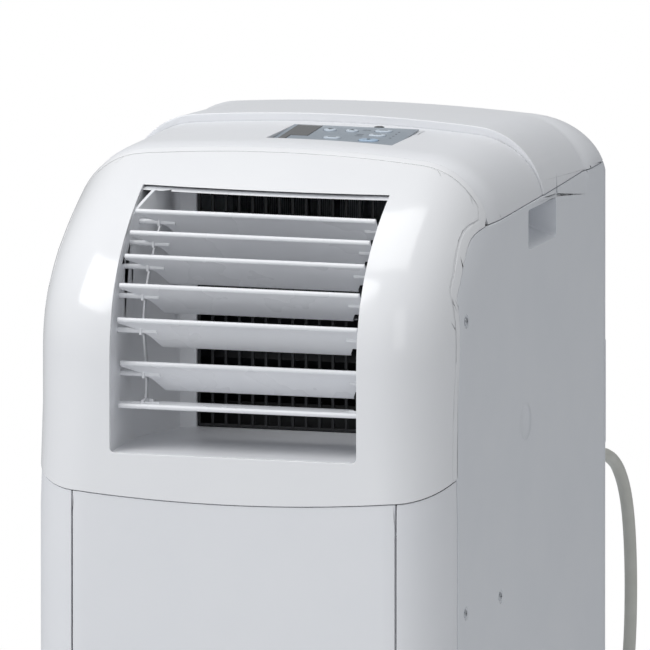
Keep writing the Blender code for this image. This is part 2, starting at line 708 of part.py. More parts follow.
def outlet_duct():
    """Moulded channel from the bezel back to the black safety grille."""
    ceiling = OUTLET_HIGH - DUCT_CEILING_DROP
    t = DUCT_WALL
    left = niche_line(-t)
    outer = [(x, behind(y)) for x, y in left] + [
        (left[-1][0], behind(DUCT_REAR)), (OUTLET_HALF_W + t, behind(DUCT_REAR)),
        (OUTLET_HALF_W + t, behind(-20))]
    duct = prism("outlet_duct", "Z", outer, OUTLET_LOW - t, ceiling + t)
    left = niche_line(0.0)
    inner = [(x, behind(y)) for x, y in left] + [
        (left[-1][0], behind(DUCT_REAR + 5)), (OUTLET_HALF_W, behind(DUCT_REAR + 5)),
        (OUTLET_HALF_W, behind(-25)), (left[0][0], behind(-25))]
    channel = prism("channel", "Z", inner, OUTLET_LOW, ceiling)
    floor = [(-25.0, OUTLET_LOW), (0.0, OUTLET_LOW), (DUCT_REAR + 5, OUTLET_LOW + DUCT_RISE),
             (DUCT_REAR + 5, HEIGHT), (-25.0, HEIGHT)]
    keep(channel, side_region(floor))
    keep(duct, casing("limit", WALL + GAP))
    cut(duct, channel)
    for pivot in louvre_pivots():
        cut(duct, rod("pivot_hole", "X", pivot, PIVOT_R + RUN, -OUTLET_HALF_W - 10,
                      OUTLET_HALF_W + 10, 7))
    return smooth(rename(duct, "outlet_duct", SATIN_WHITE))


def safety_grille():
    """Black guard of upright bars with two cross bars, at the back of the duct."""
    left = -OUTLET_HALF_W + GRILLE_LEFT_INSET + GAP
    right = OUTLET_HALF_W - GAP
    low = OUTLET_LOW + DUCT_RISE + GAP
    high = OUTLET_HIGH - DUCT_CEILING_DROP - GAP
    y0, y1 = behind(DUCT_REAR - GRILLE_T - 0.5), behind(DUCT_REAR - 0.5)
    plate = box("safety_grille", (left, y0, low), (right, y1, high), BLACK)
    columns = int((right - left - GRILLE_BAR) // GRILLE_PITCH)
    pitch = (right - left - GRILLE_BAR) / columns
    rows = 2
    rise = (high - low - GRILLE_BAR) / rows
    for i in range(columns):
        for j in range(rows):
            x = left + GRILLE_BAR + pitch * i
            z = low + GRILLE_BAR + rise * j
            cut(plate, box("hole", (x, y0 - 5, z), (x + pitch - GRILLE_BAR, y1 + 5,
                                                    z + rise - GRILLE_BAR)))
    return rename(plate, "safety_grille", BLACK)


def louvre_pivots():
    """(y, z) of each slat's pivot."""
    places = []
    for setback, drop, slope in SLATS:
        reach = SLAT_FRONT if slope else LOWEST_CHORD / 2
        turn = math.radians(slope)
        places.append((behind(setback) + reach * math.cos(turn),
                       HEIGHT - drop + reach * math.sin(turn)))
    return places


def wall_at(y):
    """X of the duct's left wall at a given y."""
    setback = y - FRONT_Y
    share = min(max((setback - NICHE_START) / (NICHE_END - NICHE_START), 0.0), 1.0)
    return -OUTLET_HALF_W + NICHE_INSET * share


def louvre(index):
    """One slat with its two pivot pins and the crank that the tie bar drives."""
    slope = SLATS[index][2]
    y, z = louvre_pivots()[index]
    chord = SLAT_CHORD if slope else LOWEST_CHORD
    front = -SLAT_FRONT if slope else -chord / 2
    rear = front + chord
    end = OUTLET_HALF_W - SLAT_END_GAP
    outline = []
    for i in range(6):
        turn = math.radians(60 + 48 * i)
        outline.append((front + SLAT_LIP_R + SLAT_LIP_R * math.cos(turn),
                        SLAT_LIP_R * math.sin(turn)))
    outline += [(rear - 1, -SLAT_T * 0.35), (rear, 0.0), (rear - 1, SLAT_T * 0.35)]
    slat = prism("slat", "X", outline, -end, end)
    taper = [(-end - 1, front + 5), (-end - 1, rear + 5), (-end + SLAT_TAPER, rear + 5),
             (-end + SLAT_TAPER, rear), (-end + SLAT_TAPER * 0.55, front + 15)]
    cut(slat, prism("taper", "Z", taper, -10, 10))
    notch = [(end + 1, rear + 5), (end - 12, rear + 5), (end - 12, rear - 2),
             (end - 9, rear - 9), (end + 1, rear - 9)]
    cut(slat, prism("notch", "Z", notch, -10, 10))
    slat.data.transform(Matrix.Rotation(math.radians(slope), 4, "X"))
    plate = [(5, -4), (CRANK + 2.6, -2.4), (CRANK + 2.6, 2.4), (3, 4), (-3, 3), (-3, -3)]
    join(slat, prism("crank", "X", plate, CRANK_X, CRANK_X + LINK_PLATE))
    join(slat, rod("left_pin", "X", (0, 0), PIVOT_R, wall_at(y) - DUCT_WALL + 0.4 - 1.2,
                   CRANK_X + LINK_PLATE + 12, 8))
    join(slat, rod("right_pin", "X", (0, 0), PIVOT_R, end - 12,
                   OUTLET_HALF_W + DUCT_WALL - 0.4, 8))
    join(slat, rod("crank_pin", "X", (CRANK, 0), CRANK_PIN_R, CRANK_X - 2 * LINK_PLATE - 1.2,
                   CRANK_X + 1, 8))
    slat.data.transform(Matrix.Translation(Vector((0, y, z)) * MM))
    return move_origin(smooth(rename(slat, f"louvre_{index + 1}", LOUVRE_WHITE)), (0, y, z))


def louvre_tie_bar():
    """Upright link that joins the cranks of all slats, so that they turn together."""
    pins = [(y + CRANK, z) for y, z in louvre_pivots()]
    x1 = CRANK_X - GAP
    x0 = x1 - LINK_PLATE
    half = LINK_WIDTH / 2
    right, left = [], []
    for i, (y, z) in enumerate(pins):
        before, after = pins[max(i - 1, 0)], pins[min(i + 1, len(pins) - 1)]
        along = Vector((after[0] - before[0], after[1] - before[1])).normalized()
        right.append((y + half * along.y, z - half * along.x))
        left.append((y - half * along.y, z + half * along.x))
    bar = prism("bar", "X", right + left[::-1], x0 + 0.2, x1 - 0.2)
    for y, z in pins:
        join(bar, rod("eye", "X", (y, z), half + 0.6, x0, x1, 8))
    for y, z in pins:
        cut(bar, rod("eye_hole", "X", (y, z), CRANK_PIN_R + RUN, x0 - 2, x1 + 2, 6))
    driver = pins[3]
    return move_origin(smooth(rename(bar, "louvre_tie_bar", LOUVRE_WHITE)), (x0, *driver))


# ================================= control panel ==============================================
DISPLAY_SHAPE = [(4, 2), (10, 2), (10, 32), (24, 32), (24, 73), (4, 73)]


def control_panel():
    label = box("control_label", (GAP, GAP, GAP), (PANEL_W - GAP, PANEL_D - GAP, GAP + LABEL_T))
    for outline in KEYS.values():
        cut(label, prism("hole", "Z", key_outline(*outline, RUN), -3, 3))
    grown = [(3.7, 1.7), (10.3, 1.7), (10.3, 31.7), (24.3, 31.7), (24.3, 73.3), (3.7, 73.3)]
    cut(label, prism("window", "Z", grown, -3, 3))
    tilt(rename(label, "control_label", LABEL_GREY))
    tilt(prism("display_window", "Z", DISPLAY_SHAPE, GAP, GAP + LABEL_T + 0.2, DISPLAY))
    top = GAP + LABEL_T + KEY_STAND
    foot = -PAD_T - 2.0
    for name, (across, up, half_w, half_d) in KEYS.items():
        outline = key_outline(across, up, half_w, half_d)
        inner = key_outline(across, up, half_w - 0.5, half_d - 0.5)
        count = len(outline)
        points = ([(x, y, foot) for x, y in outline] + [(x, y, top - 0.5) for x, y in outline]
                  + [(x, y, top) for x, y in inner])
        faces = [tuple(reversed(range(count))), tuple(range(2 * count, 3 * count))]
        for level in (0, count):
            faces += [(level + i, level + (i + 1) % count, level + count + (i + 1) % count,
                       level + count + i) for i in range(count)]
        key = tilt(mesh_object(name, points, faces, LOUVRE_WHITE))
        centre = panel_matrix() @ Vector((across, up, top))
        move_origin(smooth(key, 50), centre)
    board_top = foot - KEY_TRAVEL - GAP
    board = tilt(box("control_board", (2, 2, board_top - 1.6), (PANEL_W - 2, PANEL_D - 2,
                                                               board_top)))
    rename(board, "control_board", BOARD_GREEN)


def panel_standoffs(cover):
    """Four posts under the panel that the control board is screwed to."""
    low = -PAD_T - 2.0 - KEY_TRAVEL
    for across in (7.0, PANEL_W - 7.0):
        for up in (7.0, PANEL_D - 7.0):
            post = tilt(prism("post", "Z", key_outline(across, up, 3.0, 3.0), low, -PAD_T + 1))
            join(cover, post)


def receiver_window():
    x, y = 39.0, behind(262.0)
    top = HEIGHT - SADDLE_DROP
    profile = [(-6.0, 0.0), (-6.0, 4.0), (-0.6, 4.0), (0.0, 3.2), (0.2, 0.0)]
    lens = turned("receiver_window", "Z", (x, y, top), profile, 20, DISPLAY)
    return smooth(lens)


# ================================= upper deck: cooling side ===================================
def mid_deck():
    """Tray that parts the cold upper half from the warm lower half and catches the water."""
    deck = keep(casing("mid_deck", WALL + 0.8 + GAP), box("slice", (-400, -400, DECK_Z),
                                                      (400, 400, DECK_Z + DECK_T)))
    cut(deck, rod("lead_way", "Z", (LEAD_X, REAR_Y - 10), 10.0, DECK_Z - 5, DECK_Z + 9, 16))
    for y in tube_rows():
        cut(deck, rod("tube_way", "Z", (TUBE_X, y), TUBE_R + 0.5, DECK_Z - 5, DECK_Z + 9, 12))
    return rename(deck, "mid_deck", SATIN_WHITE)


def tube_rows():
    return (behind(340.0), behind(375.0))


def refrigerant_tube(index, name):
    """Copper pipe from the compressor side up to the evaporator."""
    y = tube_rows()[index]
    low_z, high_z = 150.0 + 60.0 * index, 520.0 + 70.0 * index
    start_y = behind(COMPRESSOR_SETBACK)
    lane = TUBE_X + 10.0 * index
    points = [(COMPRESSOR_X - COMPRESSOR_R - 0.8, start_y, low_z), (-142, start_y + 2, low_z),
              (lane - 1, start_y + 18, low_z), (lane, start_y + 70, low_z),
              (lane, y - 28, low_z + 2), (TUBE_X, y - 4, low_z + 16), (TUBE_X, y, low_z + 50),
              (TUBE_X, y, DECK_Z), (TUBE_X, y, high_z - 22), (TUBE_X + 5, y + 3, high_z - 6),
              (TUBE_X + 15, y + 12, high_z), (-128, REAR_Y - 51, high_z),
              (-121.3, REAR_Y - 48, high_z)]
    curve = bpy.data.curves.new(name, "CURVE")
    curve.dimensions = "3D"
    curve.bevel_depth = TUBE_R * MM
    curve.bevel_resolution = 1
    curve.use_fill_caps = True
    curve.render_resolution_u = 0
    line = curve.splines.new("POLY")
    smooth_points = through(points, 2)
    line.points.add(len(smooth_points) - 1)
    for slot, point in zip(line.points, smooth_points):
        slot.co = (*(Vector(point) * MM), 1.0)
    curve.materials.append(finish_material(*COPPER))
    made = bpy.data.objects.new(name, curve)
    bpy.context.collection.objects.link(made)
    return made


def through(points, steps):
    """Points of a smooth curve (Catmull-Rom) through the given ones."""
    knots = [Vector(p) for p in points]
    knots = [2 * knots[0] - knots[1], *knots, 2 * knots[-1] - knots[-2]]
    line = []
    for a, b, c, d in zip(knots, knots[1:], knots[2:], knots[3:]):
        for i in range(steps):
            t = i / steps
            line.append(0.5 * (2 * b + (c - a) * t + (2 * a - 5 * b + 4 * c - d) * t * t
                               + (3 * b - 3 * c + d - a) * t ** 3))
    line.append(knots[-2])
    return line


def fin_block(name, x0, x1, y0, y1, z0, z1, fins):
    """Coil block: end plates with a comb of fins between them, cut as deep grooves."""
    depth = (y1 - y0) * 0.38
    pitch = (x1 - x0) / fins
    front, rear = [], []
    for i in range(fins):
        a, b = x0 + pitch * i, x0 + pitch * (i + 1)
        groove = pitch * 0.5
        front += [(a, y0), (b - groove, y0), (b - groove, y0 + depth), (b, y0 + depth)]
        rear += [(a, y1), (b - groove, y1), (b - groove, y1 - depth), (b, y1 - depth)]
    front += [(x1, y0), (x1 + 3, y0)]
    rear += [(x1, y1), (x1 + 3, y1)]
    return prism(name, "Z", front + list(reversed(rear)), z0, z1, FIN_ALUMINIUM)


def blower():
    """Cross-flow wheel, its scroll with two end plates, and the motor on the right."""
    y, z = behind(BLOWER_SETBACK), BLOWER_Z
    base = DECK_Z + DECK_T + GAP
    half = BLOWER_HALF_L
    inner, outer = BLOWER_R + SCROLL_GAP, BLOWER_R + SCROLL_GAP + 2.5
    arc = [math.radians(-150 + 15 * i) for i in range(12)]
    outline = [(y + outer * math.cos(a), z + outer * math.sin(a)) for a in arc]
    outline += [(y + inner * math.cos(a), z + inner * math.sin(a)) for a in reversed(arc)]
    plate_in, plate_out = half + 2.0, half + 4.5
    scroll = prism("blower_scroll", "X", outline, -plate_out + 1, plate_out - 1)
    front = behind(DUCT_REAR) + GAP
    for side in (-1, 1):
        face = [(front, base), (y + outer + 3, base), (y + outer + 3, z + 20), (y + 30, z + 72),
                (front, z + 72)]
        a, b = side * plate_in, side * plate_out
        join(scroll, prism("end_plate", "X", face, min(a, b), max(a, b)))
    foot = box("foot", (-plate_in - 1, y - 20, base), (plate_in + 1, y + 20,
                                                      z - inner - 1.0))
    join(scroll, foot)
    cut(scroll, rod("bore", "X", (y, z), SHAFT_R + RUN, -plate_out - 5, plate_out + 5, 16))
    smooth(rename(scroll, "blower_scroll", BLACK))
    wheel = turned("wheel", "X", (0, y, z), [(-half, 0.0), (-half, BLOWER_R), (half, BLOWER_R),
                                             (half, 0.0)], 28)
    hollow = turned("hollow", "X", (0, y, z), [(-half + 3, 0.0), (-half + 3, BLOWER_R - 12),
                                               (half - 3, BLOWER_R - 12), (half - 3, 0.0)], 24)
    cut(wheel, hollow)
    blades = 12
    for i in range(blades):
        a = 2 * math.pi * i / blades
        b = a + 2 * math.pi / blades * 0.62
        r0, r1 = BLOWER_R - 15, BLOWER_R + 3
        skew = 0.16
        slot = [(y + r0 * math.cos(a), z + r0 * math.sin(a)),
                (y + r1 * math.cos(a + skew), z + r1 * math.sin(a + skew)),
                (y + r1 * math.cos(b + skew), z + r1 * math.sin(b + skew)),
                (y + r0 * math.cos(b), z + r0 * math.sin(b))]
        cut(wheel, prism("slot", "X", slot, -half + 3, half - 3))
    for side in (-1, 1):
        cut(wheel, rod("bore", "X", (y, z), SHAFT_R + RUN, min(0, side * (half + 5)),
                       max(0, side * (half + 5)), 16))
    move_origin(smooth(rename(wheel, "blower_wheel", BLACK), 20), (0, y, z))
    start = plate_out + GAP
    profile = [(-plate_out - 2, 0.0), (-plate_out - 2, SHAFT_R), (start, SHAFT_R), (start, 30.0),
               (start + 3, 33.0), (start + 38, 33.0), (start + 42, 28.0), (start + 42, 0.0)]
    motor = turned("blower_motor", "X", (0, y, z), profile, 24)
    smooth(rename(motor, "blower_motor", MOTOR_GREY))


# ================================= lower half: warm side ======================================
def compressor():
    x, y, z = COMPRESSOR_X, behind(COMPRESSOR_SETBACK), PAN_BOTTOM + PAN_FLOOR + GAP
    r = COMPRESSOR_R
    profile = [(0.0, 0.0), (0.0, 64.0), (4.0, 64.0), (5.0, r - 4), (12.0, r), (30.0, r),
               (32.0, r + 1.5), (38.0, r + 1.5), (40.0, r), (170.0, r), (172.0, r + 1.5),
               (178.0, r + 1.5), (180.0, r), (196.0, r * 0.88), (206.0, r * 0.6),
               (211.0, r * 0.25), (212.0, 0.0)]
    shell = turned("compressor", "Z", (x, y, z), profile, 16)
    tank = turned("tank", "Z", (x + r + 20, y + 8, z + 40),
                  [(0.0, 0.0), (4.0, 14.0), (10.0, 20.0), (105.0, 20.0), (112.0, 12.0),
                   (116.0, 0.0)], 12)
    join(shell, tank)
    join(shell, box("strap", (x + r - 8, y + 2, z + 90), (x + r + 8, y + 14, z + 104)))
    return smooth(rename(shell, "compressor", PAINT_BLACK))


def condenser_fan():
    """Radial fan: housing with a duct up to the exhaust collar, wheel, and motor."""
    x, z, y = FAN_X, FAN_Z, behind(FAN_SETBACK)
    base = PAN_BOTTOM + PAN_FLOOR + GAP
    inner, t = FAN_R + 8, 2.5
    back = y - FAN_L / 2 - 4.0
    mouth = behind(DEPTH - 74.0)
    housing = rod("condenser_fan_housing", "Y", (x, z), inner + t, back - t, y + FAN_L / 2 + 4,
                  32)
    out_low, out_high = z + 20, EXHAUST_Z + EXHAUST_R + 6
    left, right = EXHAUST_X - EXHAUST_R - 6, x + inner
    join(housing, box("riser", (left - t, back - t, out_low), (right + t, mouth, out_high + t)))
    for foot_x in (x - 47, x + 35):
        join(housing, box("foot", (foot_x, back - t, base), (foot_x + 12, back + 30, z)))
    cut(housing, rod("chamber", "Y", (x, z), inner, back, y + FAN_L, 32))
    cut(housing, box("flow", (left, back, out_low + t), (right, mouth - t, out_high)))
    cut(housing, rod("chamber_mouth", "Y", (x, z), inner - 14, y, mouth + 20, 32))
    cut(housing, rod("outlet", "Y", (EXHAUST_X, EXHAUST_Z), EXHAUST_R - 4, mouth - 12,
                     mouth + 9, 32))
    cut(housing, rod("shaft_way", "Y", (x, z), SHAFT_R + 3, back - 9, back + 3, 16))
    smooth(rename(housing, "condenser_fan_housing", BLACK))
    half = FAN_L / 2
    profile = [(-half, SHAFT_R + RUN), (-half, FAN_R), (-half + 3, FAN_R), (-half + 3, 26.0),
               (4.0, 14.0), (4.0, SHAFT_R + RUN)]
    wheel = turned("condenser_fan_wheel", "Y", (x, y, z), profile, 26)
    blades = 10
    for i in range(blades):
        a = 2 * math.pi * i / blades
        r0, r1 = FAN_R - 16, FAN_R - 1
        blade = [(r0, a), (r1, a + 0.15), (r1, a + 0.19), (r0, a + 0.05)]
        outline = [(x + r * math.cos(b), z + r * math.sin(b)) for r, b in blade]
        join(wheel, prism("blade", "Y", outline, y - half + 1, y + half - 2))
    ring = turned("ring", "Y", (x, y, z), [(half - 4, FAN_R - 16), (half - 4, FAN_R),
                                           (half, FAN_R), (half, FAN_R - 16)], 26)
    join(wheel, ring)
    move_origin(smooth(rename(wheel, "condenser_fan_wheel", BLACK), 20), (x, y, z))
    face = back - t - GAP
    profile = [(face - 44 - y, 0.0), (face - 44 - y, 28.0), (face - 40 - y, 34.0),
               (face - 4 - y, 34.0), (face - y, 30.0), (face - y, SHAFT_R), (2.0, SHAFT_R),
               (2.0, 0.0)]
    motor = turned("condenser_motor", "Y", (x, y, z), profile, 24)
    smooth(rename(motor, "condenser_motor", MOTOR_GREY))


def exhaust_collar():
    """Round spigot for the exhaust hose, held in the rear cover by its flange."""
    low = behind(DEPTH - 74.0) + GAP - REAR_Y
    r = EXHAUST_R
    profile = [(low, r - 4), (low, r - 0.6), (-WALL - 1, r - 0.6), (GAP, r - 0.6), (GAP, r + 7),
               (GAP + 2.2, r + 7), (GAP + 3.0, r - 0.2), (REAR_OVERHANG, r - 0.6),
               (REAR_OVERHANG, r - 4)]
    collar = turned("exhaust_collar", "Y", (EXHAUST_X, REAR_Y, EXHAUST_Z), profile, 24)
    return smooth(rename(collar, "exhaust_collar", SATIN_WHITE), 30)


def drain_plug():
    profile = [(-WALL - 5, 0.0), (-WALL - 5, DRAIN_R - 3), (-WALL - 1, DRAIN_R - 2),
               (GAP, DRAIN_R - 2), (GAP, DRAIN_R + 3), (GAP + 3, DRAIN_R + 3),
               (GAP + 4, DRAIN_R + 1), (GAP + 4, 4.0), (GAP + 8, 3.4), (GAP + 8, 0.0)]
    plug = turned("drain_plug", "Y", (DRAIN_X, REAR_Y, DRAIN_Z), profile, 14, RUBBER)
    return move_origin(smooth(plug), (DRAIN_X, REAR_Y, DRAIN_Z))


def cord_cleat():
    """Ear on the rear right corner that the lead is wound on."""
    y0 = REAR_Y + GAP
    y1 = REAR_Y + REAR_OVERHANG
    low, high = CLEAT_LOW, CLEAT_HIGH
    outline = [(y0, low + 1.5), (y0 + 3, low), (y1 - 2.5, low), (y1, low + 2.5),
               (y1, high - 2.5), (y1 - 2.5, high), (y0, high)]
    ear = prism("cord_cleat", "X", outline, CLEAT_X - CLEAT_W, CLEAT_X)
    slot = box("slot", (0, y0 - 2, low + CLEAT_FOOT), (300, y1 - 3.0, high - CLEAT_FOOT))
    cut(ear, slot)
    return rename(ear, "cord_cleat", SATIN_WHITE)


# ================================= mains lead =================================================
def strain_relief():
    profile = [(-WALL - 3, 0.0), (-WALL - 3, 6.6), (GAP, 6.6), (GAP, 10.0), (3.0, 10.0),
               (4.0, 8.6)]
    ribs = 3
    pitch = (RELIEF_L - 8.0) / ribs
    for i in range(ribs):
        start = 5.0 + pitch * i
        radius = 8.4 - 2.0 * i / ribs
        profile += [(start, radius), (start + pitch * 0.55, radius - 0.3),
                    (start + pitch * 0.6, radius - 1.4), (start + pitch * 0.95, radius - 1.5)]
    profile += [(RELIEF_L, 5.6), (RELIEF_L, 0.0)]
    relief = turned("strain_relief", "Y", (LEAD_X, REAR_Y, LEAD_Z), profile, 10, CORD_GREY)
    return smooth(relief)


def power_cord():
    curve = bpy.data.curves.new("power_cord", "CURVE")
    curve.dimensions = "3D"
    curve.bevel_depth = CORD_R * MM
    curve.bevel_resolution = 2
    curve.use_fill_caps = True
    curve.render_resolution_u = 0
    points = through(CORD_ROUTE, 2)
    line = curve.splines.new("POLY")
    line.points.add(len(points) - 1)
    for slot, point in zip(line.points, points):
        slot.co = (*(Vector(point) * MM), 1.0)
    curve.materials.append(finish_material(*CORD_GREY))
    made = bpy.data.objects.new("power_cord", curve)
    bpy.context.collection.objects.link(made)


def cord_store():
    """The rest of the lead as one ring, with its tie and the plug beside it."""
    half = 2 * CORD_R
    low, high = COIL_Z, COIL_Z + 2 * half
    profile = [(low, COIL_R - half + 2), (low + 2, COIL_R - half), (high - 2, COIL_R - half),
               (high, COIL_R - half + 2), (high, COIL_R + half - 2), (high - 2, COIL_R + half),
               (low + 2, COIL_R + half), (low, COIL_R + half - 2)]
    turned("cord_coil", "Z", (COIL_X, COIL_Y, 0), profile, 20, CORD_GREY)
    gap = 0.4
    inner = (COIL_R - half - gap - 0.6, COIL_R + half + gap)
    tie = box("cord_tie", (COIL_X - 5, COIL_Y + inner[0] - 1.2, low - 1.6),
              (COIL_X + 5, COIL_Y + inner[1] + 1.2, high + 1.6))
    cut(tie, box("inside", (COIL_X - 9, COIL_Y + inner[0], low - gap),
                 (COIL_X + 9, COIL_Y + inner[1], high + gap)))
    rename(tie, "cord_tie", BLACK)
    y, z = COIL_Y + COIL_R, PLUG_Z
    x0 = COIL_X + PLUG_REACH
    body = prism("plug", "X", [(y - 9, 0.4), (y + 9, 0.4), (y + 13, 5), (y + 13, 20),
                               (y + 9, 24.6), (y - 9, 24.6), (y - 13, 20), (y - 13, 5)],
                 x0, x0 + PLUG_L)
    for dy in (-6.35, 6.35):
        join(body, box("blade", (x0 + PLUG_L - 1, y + dy - 0.8, z - 3.2),
                       (x0 + PLUG_L + BLADE_L, y + dy + 0.8, z + 3.2)))
    join(body, rod("earth_pin", "X", (y, z + 8.0), 2.4, x0 + PLUG_L - 1,
                   x0 + PLUG_L + BLADE_L + 3, 12))
    rename(body, "plug", CORD_GREY)


# ================================= assembly ===================================================
def build():
    clear_scene()
    front_bezel()
    front_frame()
    front_panel()
    side_panel(-1)
    side_panel(1)
    panel_standoffs(top_cover())
    rear_hood()
    rear_cover()
    base_pan()
    for tag, (x, y) in zip(CASTER_NAMES, caster_places()):
        caster(tag, x, y)
    outlet_duct()
    safety_grille()
    for index in range(len(SLATS)):
        louvre(index)
    louvre_tie_bar()
    control_panel()
    receiver_window()
    mid_deck()
    blower()
    coil_z = DECK_Z + DECK_T + GAP
    fin_block("evaporator_coil", -120.0, 117.0, REAR_Y - 58, REAR_Y - 26, coil_z, HEIGHT - 80, 10)
    filter_plate = slatted_grille("air_filter", INTAKE_LOW, INTAKE_HIGH, REAR_Y - 11.0,
                                  REAR_Y - 6.0, 5, BLACK)
    rename(filter_plate, "air_filter", BLACK)
    grille = slatted_grille("intake_grille", INTAKE_LOW, INTAKE_HIGH, REAR_Y - 5.7,
                            REAR_Y + 1.0, 10, SATIN_WHITE)
    rename(grille, "intake_grille", SATIN_WHITE)
    vent = slatted_grille("condenser_grille", VENT_LOW, VENT_HIGH, REAR_Y - 5.7,
                          REAR_Y + 1.0, 10, SATIN_WHITE)
    rename(vent, "condenser_grille", SATIN_WHITE)
    compressor()
    pan_floor = PAN_BOTTOM + PAN_FLOOR + GAP
    fin_block("condenser_coil", -117.0, 114.0, REAR_Y - 58, REAR_Y - 16, pan_floor, 280.0, 10)
    condenser_fan()
    refrigerant_tube(0, "suction_tube")
    refrigerant_tube(1, "discharge_tube")
    exhaust_collar()
    drain_plug()
    cord_cleat()
    strain_relief()
    power_cord()
    cord_store()


build()
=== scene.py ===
"""Portable air conditioner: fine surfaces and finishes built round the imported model.

Lengths are in millimetres until a mesh is made, where MM turns them into metres.
"""
import json
import logging
import math
from dataclasses import dataclass, field
from enum import Enum
from typing import Any, Sequence

import bmesh
import bpy
from mathutils import Matrix, Vector


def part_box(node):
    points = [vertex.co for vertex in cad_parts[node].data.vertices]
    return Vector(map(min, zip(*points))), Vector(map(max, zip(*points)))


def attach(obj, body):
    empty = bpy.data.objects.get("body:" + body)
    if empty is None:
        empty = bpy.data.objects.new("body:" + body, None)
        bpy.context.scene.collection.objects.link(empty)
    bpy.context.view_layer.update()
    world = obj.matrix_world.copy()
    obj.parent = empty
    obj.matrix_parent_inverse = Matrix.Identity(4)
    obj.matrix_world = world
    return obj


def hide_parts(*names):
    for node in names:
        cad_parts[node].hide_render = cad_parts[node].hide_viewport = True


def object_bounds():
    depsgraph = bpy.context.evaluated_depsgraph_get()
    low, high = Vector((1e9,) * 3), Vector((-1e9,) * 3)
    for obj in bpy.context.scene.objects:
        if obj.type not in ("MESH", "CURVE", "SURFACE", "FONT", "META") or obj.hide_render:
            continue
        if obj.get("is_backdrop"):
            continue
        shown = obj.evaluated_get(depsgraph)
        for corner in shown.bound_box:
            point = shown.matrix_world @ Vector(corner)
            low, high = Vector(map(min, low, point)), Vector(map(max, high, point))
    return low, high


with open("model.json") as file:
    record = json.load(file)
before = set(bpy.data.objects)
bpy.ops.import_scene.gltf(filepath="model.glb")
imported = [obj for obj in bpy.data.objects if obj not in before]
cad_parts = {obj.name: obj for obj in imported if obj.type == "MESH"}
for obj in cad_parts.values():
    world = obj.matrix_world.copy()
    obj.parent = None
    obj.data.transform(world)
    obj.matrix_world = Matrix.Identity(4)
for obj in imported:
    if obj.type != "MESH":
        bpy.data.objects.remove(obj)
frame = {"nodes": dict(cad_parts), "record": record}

LOG = logging.getLogger("air_conditioner")
MM = 0.001
FAR = 400.0                       # reach of a cutter that passes right through the cabinet
SHARP = 38.0                      # edges that turn more than this many degrees are rounded
SLIVER = 0.02                     # edges shorter than this are left over from a cut

Point2 = tuple[float, float]
Point3 = tuple[float, float, float]
Link = tuple[bpy.types.Node, Any]        # a node and the output that feeds a socket


class How(Enum):
    """Ways in which one closed shape works on another."""

    CUT = "DIFFERENCE"
    JOIN = "UNION"
    KEEP = "INTERSECT"


class Slot(Enum):
    """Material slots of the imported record."""

    GLOSS = "gloss_white"
    SATIN = "satin_white"
    LOUVRE = "louvre_white"
    BLACK = "black_plastic"
    LABEL = "label_grey"
    DISPLAY = "display_black"
    RUBBER = "dark_rubber"
    MOTOR = "motor_grey"
    ENAMEL = "black_enamel"
    COPPER = "copper_tube"
    FIN = "fin_aluminium"
    BOARD = "board_green"
    CORD = "cord_grey"


# ---------------------------------- finishes ---------------------------------------------------
def linear(colour: str) -> tuple[float, float, float, float]:
    """Turns an sRGB hex colour into linear light.

    Args:
        colour: a colour such as "#e8eaee".

    Returns:
        The linear red, green, blue and an alpha of 1.
    """
    values = [int(colour[i:i + 2], 16) / 255 for i in (1, 3, 5)]
    red, green, blue = [v / 12.92 if v <= 0.04045 else ((v + 0.055) / 1.055) ** 2.4
                        for v in values]
    return (red, green, blue, 1.0)


def add_node(tree: bpy.types.NodeTree, kind: str, settings: dict[Any, Any] | None = None,
             links: dict[Any, tuple[bpy.types.Node, Any]] | None = None) -> bpy.types.Node:
    """Adds one node with its settings and its links.

    Args:
        tree: the node tree that takes it.
        kind: the node's type.
        settings: values of the node's own properties, or of its sockets.
        links: for each socket, the node and the output that feed it.

    Returns:
        The new node.
    """
    made = tree.nodes.new(kind)
    for name, value in (settings or {}).items():
        if isinstance(name, str) and hasattr(made, name):
            setattr(made, name, value)
        else:
            made.inputs[name].default_value = value
    for name, (source, output) in (links or {}).items():
        tree.links.new(source.outputs[output], made.inputs[name])
    return made


def new_material(name: str) -> tuple[bpy.types.Material, bpy.types.NodeTree]:
    """Makes an empty node material and returns it with its tree."""
    made = bpy.data.materials.new(name)
    made.use_nodes = True
    made.node_tree.nodes.clear()
    return made, made.node_tree


def per_metre(size_mm: float) -> float:
    """The scale at which a pattern's features measure size_mm on Object coordinates."""
    return 1.0 / (size_mm * MM)


